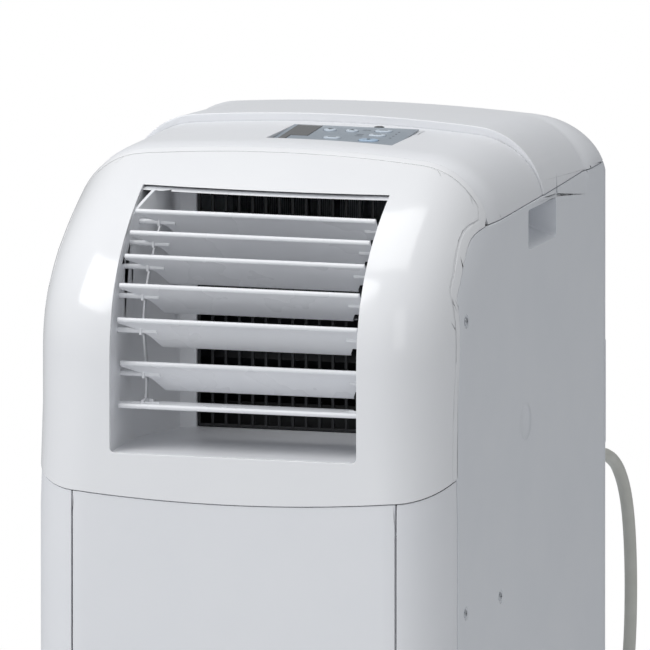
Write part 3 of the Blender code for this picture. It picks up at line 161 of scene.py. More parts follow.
@dataclass(frozen=True)
class Finish:
    """What a piece is made of: two colours, and a pattern that each kind of finish draws."""

    name: str
    slot: Slot
    light: str
    dark: str

    def draw(self, tree: bpy.types.NodeTree, place: bpy.types.Node) -> None:
        """Adds the finish's own nodes; place is its texture coordinate."""
        raise NotImplementedError

    def material(self) -> bpy.types.Material:
        """The finish as a node material, made once."""
        made = bpy.data.materials.get(self.name)
        if made is None:
            made, tree = new_material(self.name)
            self.draw(tree, add_node(tree, "ShaderNodeTexCoord"))
        return made

    def shade(self, tree: bpy.types.NodeTree, tint: Link, colours: tuple[str, str], gloss: Link,
              gloss_range: dict[str, float], relief: Link, bump: dict[str, float],
              shader: dict[str, float]) -> None:
        """Leads a finish's tint, gloss and relief into one shader.

        Args:
            tree: the material's tree.
            tint: what mixes the two colours.
            colours: the colours at 0 and at 1 of the tint.
            gloss: what makes the roughness drift.
            gloss_range: the range that it is mapped to.
            relief: the height of the relief.
            bump: the relief's strength and depth.
            shader: values that are the same all over.
        """
        mixed = add_node(tree, "ShaderNodeMix", {"data_type": "RGBA", 6: linear(colours[0]),
                                                 7: linear(colours[1])}, {"Factor": tint})
        rough = add_node(tree, "ShaderNodeMapRange", gloss_range, {"Value": gloss})
        raised = add_node(tree, "ShaderNodeBump", bump, {"Height": relief})
        surface = add_node(tree, "ShaderNodeBsdfPrincipled", shader,
                           {"Base Color": (mixed, 2), "Roughness": (rough, "Result"),
                            "Normal": (raised, "Normal")})
        add_node(tree, "ShaderNodeOutputMaterial", links={"Surface": (surface, "BSDF")})


@dataclass(frozen=True)
class Moulded(Finish):
    """Injection-moulded plastic, whose tint and gloss drift a little over each face.

    Cloud is the size of the flow marks and grain that of the tool's surface; the grain is
    drawn at about a millimetre, coarser than the real 0.1 mm, so that it shows.
    """

    roughness: float
    spread: float = 0.04
    cloud: float = 70.0
    grain: float = 1.1
    relief: float = 0.004
    ior: float = 1.53
    coat: float = 0.0

    def draw(self, tree: bpy.types.NodeTree, place: bpy.types.Node) -> None:
        """Draws flow marks and the tool's grain."""
        cloud = add_node(tree, "ShaderNodeTexNoise",
                         {"Scale": per_metre(self.cloud), "Detail": 3.0},
                         {"Vector": (place, "Object")})
        grain = add_node(tree, "ShaderNodeTexNoise",
                         {"Scale": per_metre(self.grain), "Detail": 2.0},
                         {"Vector": (place, "Object")})
        self.shade(tree, (cloud, "Fac"), (self.light, self.dark), (cloud, "Fac"),
                   {"From Min": 0.3, "From Max": 0.7, "To Min": self.roughness - self.spread,
                    "To Max": self.roughness + self.spread},
                   (grain, "Fac"), {"Strength": 1.0, "Distance": self.relief * MM},
                   {"IOR": self.ior, "Coat Weight": self.coat, "Coat Roughness": 0.06})


@dataclass(frozen=True)
class Banded(Finish):
    """A surface with even bands across one axis, such as stacked fins or a wound mesh.

    Pitch is the real distance from band to band and depth how far they stand.
    """

    axis: str
    pitch: float
    roughness: float
    metallic: float = 0.0
    depth: float = 0.15

    def draw(self, tree: bpy.types.NodeTree, place: bpy.types.Node) -> None:
        """Draws the bands, and dust that dulls them."""
        # One band of a wave at scale 1 is pi / 10 wide, so the scale is pi / 10 / pitch.
        bands = add_node(tree, "ShaderNodeTexWave",
                         {"wave_type": "BANDS", "bands_direction": self.axis,
                          "Scale": math.pi / 10 * per_metre(self.pitch), "Distortion": 0.0},
                         {"Vector": (place, "Object")})
        dust = add_node(tree, "ShaderNodeTexNoise", {"Scale": per_metre(25.0), "Detail": 4.0},
                        {"Vector": (place, "Object")})
        self.shade(tree, (bands, "Fac"), (self.dark, self.light), (dust, "Fac"),
                   {"To Min": self.roughness - 0.06, "To Max": self.roughness + 0.1},
                   (bands, "Fac"), {"Strength": 0.7, "Distance": self.depth * MM},
                   {"Metallic": self.metallic})


@dataclass(frozen=True)
class Lacquered(Finish):
    """Printed film, board or paint: a light ground with fine specks of the other colour."""

    speck_size: float
    share: float
    roughness: float
    coat: float = 0.0
    metallic: float = 0.0

    def draw(self, tree: bpy.types.NodeTree, place: bpy.types.Node) -> None:
        """Draws the specks, and smears that dull the gloss."""
        cells = add_node(tree, "ShaderNodeTexVoronoi", {"Scale": per_metre(self.speck_size)},
                         {"Vector": (place, "Object")})
        pick = add_node(tree, "ShaderNodeMapRange",
                        {"From Min": self.share, "From Max": self.share + 0.1,
                         "To Min": 1.0, "To Max": 0.0},
                        {"Value": (cells, "Distance")})
        smear = add_node(tree, "ShaderNodeTexNoise", {"Scale": per_metre(30.0), "Detail": 3.0},
                         {"Vector": (place, "Object")})
        self.shade(tree, (pick, "Result"), (self.light, self.dark), (smear, "Fac"),
                   {"To Min": max(self.roughness - 0.05, 0.02), "To Max": self.roughness + 0.07},
                   (cells, "Distance"), {"Strength": 0.4, "Distance": 0.01 * MM},
                   {"Coat Weight": self.coat, "Metallic": self.metallic})


# ABS from a polished tool: clear reflections and a sharp highlight on every round edge.
GLOSS_ABS = Moulded("abs_polished_white", Slot.GLOSS, "#eeeff1", "#e9eaed", 0.16, 0.03,
                    relief=0.001, coat=0.25)
# The same plastic from a spark-eroded tool: even, soft sheen with no clear reflections.
SATIN_ABS = Moulded("abs_spark_eroded_white", Slot.SATIN, "#e9eaed", "#e2e4e8", 0.40,
                    relief=0.006)
# A darker, cooler copy of the same satin plastic for the sides, rear, base and inside parts; its
# darker tone is painted shade for faces turned from the key light.
SHADED_SATIN_ABS = Moulded("abs_spark_eroded_white_painted_shade", Slot.SATIN, "#e4e6ea", "#dde0e5", 0.42,
                   relief=0.006)
# Slats are moulded a little less glossy than the bezel.
SLAT_ABS = Moulded("abs_semi_gloss_white", Slot.LOUVRE, "#edeef1", "#e6e8ec", 0.28,
                   relief=0.002)
# Polypropylene filled with carbon: near black and slightly greasy.
BLACK_PP = Moulded("polypropylene_black", Slot.BLACK, "#17191d", "#0f1114", 0.42, 0.08, 30.0)
# Dark grey rubbery wheel tread with a dull, dusty face.
TREAD = Moulded("thermoplastic_rubber_grey", Slot.RUBBER, "#3b3d41", "#2c2e31", 0.72, 0.08,
                12.0, 1.5, 0.03)
# Nylon of hubs and forks, smooth with a low dark sheen.
NYLON = Moulded("nylon_black", Slot.BLACK, "#1c1e21", "#131416", 0.38, 0.06, 20.0)
# PVC sheath of the mains lead: pale, warm, slightly waxy.
PVC = Moulded("pvc_sheath_pale_grey", Slot.CORD, "#cfcfc8", "#c2c2ba", 0.45, 0.06, 14.0, 2.0,
              0.02)
# Printed polycarbonate film on the keypad: blue-grey, with a fine sparkle in its texture.
FILM = Lacquered("polycarbonate_film_blue_grey", Slot.LABEL, "#8d98a3", "#838e9a", 2.2, 0.25,
                 0.30, 0.3)
# Screen ink: a dense dark layer, flatter than the film below it.
PRINT = Lacquered("screen_ink_dark", Slot.LABEL, "#20262e", "#2b323b", 1.2, 0.3, 0.35)
# Key caps are tinted ABS with a soft gloss; the power key is bluer.
KEY_ABS = Moulded("abs_key_cool_white", Slot.LOUVRE, "#c6d0da", "#b9c4cf", 0.25, 0.04, 9.0)
POWER_ABS = Moulded("abs_key_blue_tint", Slot.LOUVRE, "#a9bfd4", "#9bb3ca", 0.25, 0.04, 9.0)
# Smoked acrylic: a black mirror over the unlit display.
SMOKED = Lacquered("acrylic_smoked_black", Slot.DISPLAY, "#07090c", "#0c1016", 3.0, 0.2, 0.05,
                   0.6)
# Stoved black enamel on the compressor, with a slight orange-peel sparkle.
ENAMEL = Lacquered("stove_enamel_black", Slot.ENAMEL, "#14161a", "#22252b", 1.8, 0.12, 0.30,
                   0.4)
# Green solder mask on glass epoxy, dotted with bright joints.
SOLDER_MASK = Lacquered("glass_epoxy_green_mask", Slot.BOARD, "#0f5a34", "#c9a54c", 2.5, 0.22,
                        0.35, 0.3)
# Rolled steel motor can with a zinc skin, and nickel-plated screws.
ZINC = Lacquered("steel_zinc_plated", Slot.MOTOR, "#a9acb0", "#8e9297", 6.0, 0.4, 0.35,
                 metallic=0.9)
SCREW = Lacquered("steel_nickel_plated", Slot.MOTOR, "#c4c7cb", "#a7abb1", 2.0, 0.3, 0.28,
                  metallic=1.0)
# Aluminium fins 1.6 mm apart across the block, seen as fine bands.
FINS = Banded("aluminium_fin_stock", Slot.FIN, "#c9cdd2", "#7f858c", "X", 1.6, 0.38, 0.9)
# Drawn copper, with faint rings left by bending.
COPPER = Banded("copper_drawn_tube", Slot.COPPER, "#c77b54", "#a8623f", "Z", 14.0, 0.28, 1.0,
                0.02)
# Filter mesh of woven nylon, a thread every 1.4 mm.
MESH = Banded("nylon_filter_mesh", Slot.BLACK, "#3c4047", "#15171b", "X", 1.4, 0.60,
              depth=0.4)


# ---------------------------------- mesh tools -------------------------------------------------
def put(name: str, data: Any) -> bpy.types.Object:
    """Makes an object from its data and links it to the scene."""
    made = bpy.data.objects.new(name, data)
    bpy.context.scene.collection.objects.link(made)
    return made


def solid(name: str, points: Sequence[Sequence[float]],
          faces: Sequence[Sequence[int]]) -> bpy.types.Object:
    """Makes a closed mesh with its faces turned outwards.

    Args:
        name: the object's name.
        points: corners in millimetres.
        faces: corner numbers of each face.

    Returns:
        The new object, unturned at the origin.
    """
    mesh = bpy.data.meshes.new(name)
    mesh.from_pydata([Vector(p) * MM for p in points], [], [tuple(f) for f in faces])
    shape = bmesh.new()
    shape.from_mesh(mesh)
    bmesh.ops.remove_doubles(shape, verts=shape.verts, dist=1e-7)
    bmesh.ops.recalc_face_normals(shape, faces=shape.faces)
    shape.to_mesh(mesh)
    shape.free()
    return put(name, mesh)


def bake_modifiers(item: bpy.types.Object) -> bpy.types.Object:
    """Turns the evaluated object into its plain mesh and drops its modifiers."""
    bpy.context.view_layer.update()
    graph = bpy.context.evaluated_depsgraph_get()
    result = bpy.data.meshes.new_from_object(item.evaluated_get(graph))
    item.modifiers.clear()
    old = item.data
    item.data = result
    bpy.data.meshes.remove(old)
    return item


def work(target: bpy.types.Object, how: How, *tools: bpy.types.Object) -> bpy.types.Object:
    """Cuts, joins or trims target with each tool in turn, and removes the tools."""
    for tool in tools:
        step = target.modifiers.new("step", "BOOLEAN")
        step.operation = how.value
        step.solver = "EXACT"
        step.object = tool
        bake_modifiers(target)
        bpy.data.objects.remove(tool, do_unlink=True)
    return target


def block(name: str, low: Point3, high: Point3) -> bpy.types.Object:
    """A box from its two far corners."""
    (x0, y0, z0), (x1, y1, z1) = low, high
    points = [(x, y, z) for x in (x0, x1) for y in (y0, y1) for z in (z0, z1)]
    faces = [(0, 1, 3, 2), (4, 6, 7, 5), (0, 4, 5, 1), (2, 3, 7, 6), (0, 2, 6, 4), (1, 5, 7, 3)]
    return solid(name, points, faces)


def on_axis(axis: str, along: float, first: float, second: float) -> Point3:
    """A point from its place along an axis and its two other coordinates, in their order."""
    return {"X": (along, first, second), "Y": (first, along, second),
            "Z": (first, second, along)}[axis]


def prism(name: str, axis: str, outline: Sequence[Point2], low: float,
          high: float) -> bpy.types.Object:
    """An outline in the plane across axis, drawn out from low to high along it."""
    count = len(outline)
    points = [on_axis(axis, along, *p) for along in (low, high) for p in outline]
    sides = [(i, (i + 1) % count, count + (i + 1) % count, count + i) for i in range(count)]
    return solid(name, points, [range(count), range(2 * count - 1, count - 1, -1), *sides])


def turned(name: str, axis: str, centre: Point3, profile: Sequence[Point2],
           steps: int = 64) -> bpy.types.Object:
    """Turns a profile of (along, radius) pairs about an axis through centre.

    Args:
        name: the object's name.
        axis: X, Y or Z.
        centre: a point on the axis that the profile's heights start from.
        profile: pairs that start and end on the axis, or close on themselves.
        steps: facets round the axis.

    Returns:
        The closed turned body.
    """
    points: list[Point3] = []
    rows: list[list[int]] = []
    for along, radius in profile:
        count = 1 if radius == 0.0 else steps
        rows.append([len(points) + i for i in range(count)])
        for i in range(count):
            angle = 2 * math.pi * i / steps
            local = on_axis(axis, along, radius * math.cos(angle), radius * math.sin(angle))
            points.append(tuple(a + b for a, b in zip(centre, local)))
    pairs = list(zip(rows, rows[1:]))
    if profile[0][1] != 0.0:
        pairs.append((rows[-1], rows[0]))
    faces = []
    for a, b in pairs:
        for i in range(steps):
            j = (i + 1) % steps
            corners = (a[i % len(a)], a[j % len(a)], b[j % len(b)], b[i % len(b)])
            face = tuple(dict.fromkeys(corners))
            if len(face) > 2:
                faces.append(face)
    return solid(name, points, faces)


def rod(name: str, axis: str, centre: Point2, radius: float, low: float, high: float,
        steps: int = 40) -> bpy.types.Object:
    """A plain cylinder along axis; centre gives the two other coordinates."""
    return turned(name, axis, on_axis(axis, 0.0, *centre),
                  [(low, 0.0), (low, radius), (high, radius), (high, 0.0)], steps)


def through(points: Sequence[Sequence[float]], steps: int) -> list[Vector]:
    """Points of a smooth curve (Catmull-Rom) through the given ones."""
    knots = [Vector(p) for p in points]
    knots = [2 * knots[0] - knots[1], *knots, 2 * knots[-1] - knots[-2]]
    line = []
    for a, b, c, d in zip(knots, knots[1:], knots[2:], knots[3:]):
        for i in range(steps):
            t = i / steps
            line.append(0.5 * (2 * b + (c - a) * t + (2 * a - 5 * b + 4 * c - d) * t * t
                               + (3 * b - 3 * c + d - a) * t ** 3))
    line.append(knots[-2])
    return line


def soften(item: bpy.types.Object, width: float = 0.5, segments: int = 2,
           sharp: float = SHARP) -> bpy.types.Object:
    """Rounds a piece's edges and shades it smooth.

    Args:
        item: the piece.
        width: the round's width in millimetres.
        segments: facets across the round.
        sharp: edges that turn more than this many degrees are rounded.

    Returns:
        The same object with a plain mesh.
    """
    shape = bmesh.new()
    shape.from_mesh(item.data)
    bmesh.ops.remove_doubles(shape, verts=shape.verts, dist=SLIVER * MM)
    bmesh.ops.dissolve_degenerate(shape, edges=shape.edges, dist=SLIVER * MM)
    shape.to_mesh(item.data)
    shape.free()
    item.data.shade_smooth()
    if width > 0:
        edge = item.modifiers.new("round", "BEVEL")
        edge.width = width * MM
        edge.segments = segments
        edge.limit_method = "ANGLE"
        edge.angle_limit = math.radians(sharp)
        edge.use_clamp_overlap = False
    else:
        item.data.set_sharp_from_angle(angle=math.radians(sharp))
    flat = item.modifiers.new("flat_faces_stay_flat", "WEIGHTED_NORMAL")
    flat.keep_sharp = True
    bake_modifiers(item)
    return item


def coat(item: bpy.types.Object, finish: Finish) -> None:
    """Gives an object's whole mesh one finish."""
    item.data.materials.clear()
    item.data.materials.append(finish.material())


def body_of_node(node: str) -> str:
    """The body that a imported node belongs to."""
    bodies = frame["record"]["behaviour"]["bodies"]
    return next(body for body, members in bodies.items() if node in members)


def dress(item: bpy.types.Object, name: str, finish: Finish, *nodes: str,
          body: str = "") -> bpy.types.Object:
    """Names a finished piece, gives it its finish and puts it on its body.

    Args:
        item: the piece, in place.
        name: its name.
        finish: what it is made of.
        nodes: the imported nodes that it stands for.
        body: the body that it rides on; without one, the first node's.

    Returns:
        The same object.
    """
    body = body or body_of_node(nodes[0])
    item.name = name
    item.data.name = name
    coat(item, finish)
    for face in item.data.polygons:
        face.material_index = 0
    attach(item, body)
    if nodes:
        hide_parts(*nodes)
    LOG.info("%s: %d faces on %s", name, len(item.data.polygons), body)
    return item


def refined(node: str, name: str, finish: Finish, width: float = 0.4,
            sharp: float = SHARP) -> bpy.types.Object:
    """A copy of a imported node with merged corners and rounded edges, in its place."""
    item = put(name, frame["nodes"][node].data.copy())
    shape = bmesh.new()
    shape.from_mesh(item.data)
    bmesh.ops.remove_doubles(shape, verts=shape.verts, dist=0.01 * MM)
    bmesh.ops.dissolve_limit(shape, angle_limit=math.radians(1.0), verts=shape.verts,
                             edges=shape.edges)
    shape.to_mesh(item.data)
    shape.free()
    return dress(soften(item, width, 2, sharp), name, finish, node)


class Rule:
    """A Geometry Nodes tree that sets turned copies of one shape on points."""

    def __init__(self, name: str, inputs: dict[str, str]) -> None:
        """Builds the tree's named inputs; each comes with its kind of socket."""
        self.tree = bpy.data.node_groups.new(name, "GeometryNodeTree")
        face = self.tree.interface
        self.sockets = {given: face.new_socket(given, in_out="INPUT",
                                               socket_type=f"NodeSocket{kind}").identifier
                        for given, kind in {**inputs, "Turn": "Vector",
                                            "Finish": "Material"}.items()}
        face.new_socket("Geometry", in_out="OUTPUT", socket_type="NodeSocketGeometry")
        self.given = add_node(self.tree, "NodeGroupInput")

    def set_out(self, points: Link, copied: Link) -> None:
        """Ends the tree: a copy on each point, turned, made real and dressed."""
        tree, given = self.tree, self.given
        turn = add_node(tree, "FunctionNodeEulerToRotation", links={"Euler": (given, "Turn")})
        placed = add_node(tree, "GeometryNodeInstanceOnPoints",
                          links={"Points": points, "Instance": copied,
                                 "Rotation": (turn, "Rotation")})
        real = add_node(tree, "GeometryNodeRealizeInstances", links={0: (placed, 0)})
        dressed = add_node(tree, "GeometryNodeSetMaterial",
                           links={"Geometry": (real, 0), "Material": (given, "Finish")})
        add_node(tree, "NodeGroupOutput", links={0: (dressed, 0)})

    def run(self, name: str, mesh: bpy.types.Mesh, turn: Point3, finish: Finish,
            values: dict[str, Any]) -> bpy.types.Object:
        """Runs the tree on a mesh and returns the result as a plain mesh.

        Args:
            name: the new object's name.
            mesh: what the tree starts from.
            turn: each copy's turn about X, Y and Z, in degrees.
            finish: what the copies are made of.
            values: the tree's other inputs.

        Returns:
            The new object.
        """
        item = put(name, mesh)
        rule = item.modifiers.new("rule", "NODES")
        rule.node_group = self.tree
        for given, value in {**values, "Turn": [math.radians(v) for v in turn],
                             "Finish": finish.material()}.items():
            rule[self.sockets[given]] = value
        return bake_modifiers(item)


class RowOfBars(Rule):
    """Evenly spaced bars in a row."""

    def __init__(self) -> None:
        """Builds the tree."""
        super().__init__("row_of_bars", {"Count": "Int", "Start": "Vector", "Step": "Vector",
                                         "Size": "Vector"})
        row = add_node(self.tree, "GeometryNodeMeshLine", {"mode": "OFFSET"},
                       {"Count": (self.given, "Count"), "Start Location": (self.given, "Start"),
                        "Offset": (self.given, "Step")})
        bar = add_node(self.tree, "GeometryNodeMeshCube", links={"Size": (self.given, "Size")})
        self.set_out((row, "Mesh"), (bar, "Mesh"))

    def make(self, name: str, count: int, start: Point3, step: Point3, size: Point3,
             finish: Finish, turn: Point3 = (0.0, 0.0, 0.0)) -> bpy.types.Object:
        """Draws one row.

        Args:
            name: the new object's name.
            count: how many bars.
            start: the first bar's centre, in millimetres.
            step: from one bar to the next.
            size: each bar's size.
            finish: what the bars are made of.
            turn: each bar's turn about X, Y and Z, in degrees.

        Returns:
            The row as a plain mesh.
        """
        lengths = {"Start": start, "Step": step, "Size": size}
        return self.run(name, bpy.data.meshes.new(name), turn, finish,
                        {"Count": count, **{given: [v * MM for v in value]
                                            for given, value in lengths.items()}})


class ScrewSet(Rule):
    """Cross-head screws, one on every given place."""

    def __init__(self) -> None:
        """Builds the tree."""
        super().__init__("screw_set", {"Places": "Geometry", "Screw": "Object"})
        screw = add_node(self.tree, "GeometryNodeObjectInfo", {"As Instance": True},
                         {"Object": (self.given, "Screw")})
        points = add_node(self.tree, "GeometryNodeMeshToPoints",
                          links={"Mesh": (self.given, "Places")})
        self.set_out((points, 0), (screw, "Geometry"))

    @staticmethod
    def head(radius: float) -> bpy.types.Object:
        """A pan head with a cross recess, its seat on the origin and its top along +Z."""
        profile = [(-0.6, 0.0), (-0.6, radius * 0.9), (0.0, radius)]
        for i in range(1, 5):
            turn = math.pi / 2 * i / 5
            profile.append((radius * 0.35 * math.sin(turn), radius * math.cos(turn) ** 0.5))
        profile.append((radius * 0.38, 0.0))
        screw = turned("screw_head", "Z", (0, 0, 0), profile, 20)
        arm, half = radius * 0.62, radius * 0.11
        for size in ((arm, half), (half, arm)):
            work(screw, How.CUT, block("recess", (-size[0], -size[1], 0.1),
                                       (size[0], size[1], 9.0)))
        return screw

    def make(self, name: str, places: Sequence[Point3], radius: float,
             turn: Point3) -> bpy.types.Object:
        """Seats the screws and returns them as one plain mesh.

        Args:
            name: the new object's name.
            places: each seat's centre, in millimetres.
            radius: the head's radius.
            turn: the turn from +Z to the way that the heads look, in degrees.

        Returns:
            The screws as a plain mesh.
        """
        template = self.head(radius)
        mesh = bpy.data.meshes.new(name)
        mesh.from_pydata([Vector(p) * MM for p in places], [], [])
        item = self.run(name, mesh, turn, SCREW, {"Screw": template})
        bpy.data.objects.remove(template, do_unlink=True)
        return item


# ---------------------------------- stage ------------------------------------------------------
@dataclass
class Stage:
    """Camera, lamps and pale floor."""

    azimuth: float = 17.0
    elevation: float = 8.45
    distance: float = 55000.0
    seen_width: float = 506.4277         # width of the view where the camera aims
    sensor: float = 36.0
    aim: Point3 = (0.0, 15.0, 577.7)
    floor_radius: float = 6000.0

    def toward(self, azimuth: float, elevation: float) -> Vector:
        """The unit vector from the object to a viewer at these angles."""
        a, e = math.radians(azimuth), math.radians(elevation)
        return Vector((math.sin(a) * math.cos(e), -math.cos(a) * math.cos(e), math.sin(e)))

    def camera(self) -> None:
        """Sets the camera at the viewing angle."""
        data = bpy.data.cameras.new("camera")
        data.sensor_width = self.sensor
        data.lens = self.sensor * self.distance / self.seen_width
        data.clip_end = 400.0
        item = put("camera", data)
        back = self.toward(self.azimuth, self.elevation)
        item.location = (Vector(self.aim) + back * self.distance) * MM
        item.rotation_euler = back.to_track_quat("Z", "Y").to_euler()
        bpy.context.scene.camera = item

    def lamp(self, name: str, azimuth: float, elevation: float, away: float, size: Point2,
             watts: float) -> None:
        """Adds one soft box that looks at the cabinet's upper half."""
        data = bpy.data.lights.new(name, "AREA")
        data.shape = "RECTANGLE"
        data.size, data.size_y = size
        data.energy = watts
        item = put(name, data)
        back = self.toward(azimuth, elevation)
        item.location = Vector(self.aim) * MM + back * away
        item.rotation_euler = back.to_track_quat("Z", "Y").to_euler()

    def world(self) -> None:
        """A grey room for the object and plain white behind it."""
        made = bpy.data.worlds.new("studio")
        made.use_nodes = True
        tree = made.node_tree
        tree.nodes.clear()
        ray = add_node(tree, "ShaderNodeLightPath")
        room = add_node(tree, "ShaderNodeBackground", {"Color": linear("#eceef0"),
                                                       "Strength": 0.44})
        white = add_node(tree, "ShaderNodeBackground", {"Color": (1, 1, 1, 1), "Strength": 1.0})
        seen = add_node(tree, "ShaderNodeMath", {"operation": "MAXIMUM"},
                        {0: (ray, "Is Camera Ray"), 1: (ray, "Is Transmission Ray")})
        mixed = add_node(tree, "ShaderNodeMixShader",
                         links={0: (seen, 0), 1: (room, 0), 2: (white, 0)})
        add_node(tree, "ShaderNodeOutputWorld", links={"Surface": (mixed, 0)})
        bpy.context.scene.world = made

    def floor(self) -> None:
        """A pale floor that keeps the shadow near the object and runs out into white."""
        made, tree = new_material("studio_floor")
        place = add_node(tree, "ShaderNodeTexCoord")
        away = add_node(tree, "ShaderNodeVectorMath", {"operation": "LENGTH"},
                        {0: (place, "Object")})
        fade = add_node(tree, "ShaderNodeMapRange", {"From Min": 0.55, "From Max": 1.6,
                                                     "interpolation_type": "SMOOTHSTEP"},
                        {"Value": (away, "Value")})
        ray = add_node(tree, "ShaderNodeLightPath")
        seen = add_node(tree, "ShaderNodeMath", {"operation": "MULTIPLY"},
                        {0: (fade, "Result"), 1: (ray, "Is Camera Ray")})
        paint = add_node(tree, "ShaderNodeBsdfDiffuse", {"Color": linear("#eff0f2")})
        white = add_node(tree, "ShaderNodeEmission", {"Color": (1, 1, 1, 1), "Strength": 1.0})
        mixed = add_node(tree, "ShaderNodeMixShader",
                         links={0: (seen, 0), 1: (paint, 0), 2: (white, 0)})
        add_node(tree, "ShaderNodeOutputMaterial", links={"Surface": (mixed, 0)})
        radius = self.floor_radius
        rim = [(radius * math.cos(math.pi * i / 24), radius * math.sin(math.pi * i / 24), -0.2)
               for i in range(48)]
        item = solid("studio_floor", rim, [range(48)])
        item.data.materials.append(made)
        if item.data.polygons[0].normal.z < 0:
            item.data.flip_normals()
        item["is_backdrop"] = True

    def build(self) -> None:
        """Makes the whole stage."""
        bpy.context.scene.view_settings.view_transform = "Standard"
        self.camera()
        self.lamp("key_box", -38.0, 40.0, 2.6, (1.6, 1.6), 32.0)
        self.lamp("front_box", 30.0, 20.0, 3.2, (0.9, 1.6), 4.5)
        self.lamp("top_box", 10.0, 84.0, 2.4, (1.6, 1.6), 19.0)
        self.world()
        self.floor()


# ---------------------------------- casing -----------------------------------------------------
@dataclass
class Casing:
    """The cabinet's outer form, and shells cut from it."""

    half_w: float
    front: float
    depth: float
    height: float
    wall: float = 2.6
    seam: float = 0.6
    front_radius: float = 50.0
    top_radius: float = 60.0
    rear_radius: float = 14.0
    crown: float = 5.0
    saddle_drop: float = 6.5
    lip_depth: float = 9.4
    lip_width: float = 3.0
    saddle: Point2 = (135.0, 274.0)
    bottom: float = 44.4
    panel_half_w: float = 132.0
    panel_foot: float = 62.0
    arc_steps: int = 14

    @classmethod
    def from_frame(cls) -> "Casing":
        """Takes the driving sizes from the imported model."""
        low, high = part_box("front_bezel")[0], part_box("rear_hood")[1]
        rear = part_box("rear_cover")[1].y
        return cls(round(high.x / MM - 0.05, 2), round(low.y / MM, 2),
                   round((rear - low.y) / MM, 2), round(high.z / MM, 2))

    def behind(self, setback: float) -> float:
        """The Y of a point this far behind the front plane."""
        return self.front + setback

    def path(self) -> list[tuple[float, float, float, float]]:
        """Side outline as (setback, height, corner radius, crown), from foot to rear."""
        top, foot = self.height, 30.0
        rows = [(0.0, z, self.front_radius, 0.0) for z in (foot, 300.0, top - 279)]
        rows.append((0.0, top - 200, self.top_radius, 0.0))
        knots = ((0.0, top - 160.0), (0.0, top - 80.0), (60.0, top - 40.0), (140.0, top - 5.0))
        steps = 30
        for i in range(steps + 1):
            t = i / steps
            ease = t * t * (3 - 2 * t)
            weights = ((1 - t) ** 3, 3 * (1 - t) ** 2 * t, 3 * (1 - t) * t * t, t ** 3)
            y = sum(w * p[0] for w, p in zip(weights, knots))
            z = sum(w * p[1] for w, p in zip(weights, knots))
            rows.append((y, z, self.top_radius, self.crown * ease))
        rows += [(y, top - drop, self.top_radius, self.crown)
                 for y, drop in ((147.0, 2.8), (154.0, 1.2), (162.0, 0.3), (170.0, 0.0),
                                 (230.0, 0.0), (self.saddle[1], 0.0))]
        steps, arc, rise = 16, 60.0, 53.0
        for i in range(steps + 1):
            turn, share = math.pi / 2 * i / steps, i / steps
            radius = self.top_radius + (self.rear_radius - self.top_radius) * share
            rows.append((self.depth - arc + arc * math.sin(turn),
                         top - arc + rise * math.cos(turn), radius, self.crown * (1 - share)))
        rows += [(self.depth, z, self.rear_radius, 0.0) for z in (500.0, 300.0, foot)]
        return rows

    def section(self, radius: float, crown: float, inset: float,
                side_inset: float) -> list[Point2]:
        """Points (x, depth below the outline) across the casing, from left to right."""
        start = 2 * crown / (self.half_w - radius)
        corner = self.half_w - radius
        flat = corner + radius * math.sin(start)
        base = crown - radius * (1 - math.cos(start))
        half = [(flat * i / 6, inset + crown * (i / 6) ** 2) for i in range(6)]
        for i in range(self.arc_steps + 1):
            turn = start + (math.pi / 2 - start) * i / self.arc_steps
            half.append((corner + (radius - side_inset) * math.sin(turn),
                         base + radius - (radius - inset) * math.cos(turn)))
        return [(-x, d) for x, d in reversed(half[1:])] + half

    def form(self, inset: float = 0.0, side_inset: float | None = None) -> bpy.types.Object:
        """The closed outer form, shrunk by inset."""
        side_inset = inset if side_inset is None else side_inset
        rows = self.path()
        points, count = [], 0
        for i, (y, z, radius, crown) in enumerate(rows):
            before, after = rows[max(i - 1, 0)], rows[min(i + 1, len(rows) - 1)]
            along = Vector((after[0] - before[0], after[1] - before[1])).normalized()
            line = self.section(radius, crown, inset, side_inset)
            count = len(line)
            for x, depth in line:
                points.append((x, self.behind(y) + along.y * depth, z - along.x * depth))
        faces = []
        for i in range(len(rows)):
            j = (i + 1) % len(rows)
            for k in range(count - 1):
                faces.append((i * count + k, j * count + k, j * count + k + 1,
                              i * count + k + 1))
        faces.append([i * count for i in range(len(rows))])
        faces.append([i * count + count - 1 for i in reversed(range(len(rows)))])
        return solid("form", points, faces)

    def region(self, outline: Sequence[Point2], low: float = -FAR,
               high: float = FAR) -> bpy.types.Object:
        """A cutter from an outline of (setback, height) points."""
        return prism("region", "X", [(self.behind(y), z) for y, z in outline], low, high)

    def edge(self, shift: float = 0.0) -> list[Point2]:
        """Rear edge of the bezel from the side, moved back and down by shift."""
        knots = [(44.0, 240.0), (48.0, 185.0), (54.0, 115.0), (57.5, 104.0), (64.0, 97.0),
                 (78.0, 82.0), (95.0, 69.0), (110.0, 63.5), (126.0, 61.0)]
        line = through([(y, drop, 0.0) for y, drop in knots], 3)
        return [(p.x + shift, self.height - p.y - shift) for p in line]

    def smile(self, shift: float = 0.0) -> list[Point2]:
        """Lower edge of the bezel from the front, as (x, z) from left to right."""
        flat, steps = self.half_w - 44.0, 12
        low, rise = self.height - 269.0, 6.0
        half = [(flat * i / steps, low + rise * (i / steps) ** 2) for i in range(steps + 1)]
        sweep = self.height - 240.0 - half[-1][1]
        for i in range(1, 13):
            turn = math.pi / 2 * i / 12
            half.append((flat + 45.0 * math.sin(turn),
                         self.height - 240.0 - sweep * math.cos(turn)))
        line = [(-x, z) for x, z in reversed(half[1:])] + half
        return [(x, z + shift) for x, z in line]

    def seam_z(self, setback: float) -> float:
        """Height of the joint between a side panel and the covers above it."""
        share = (setback - 126.0) / (self.depth - 126.0)
        return self.height - 61.0 + 9.0 * share


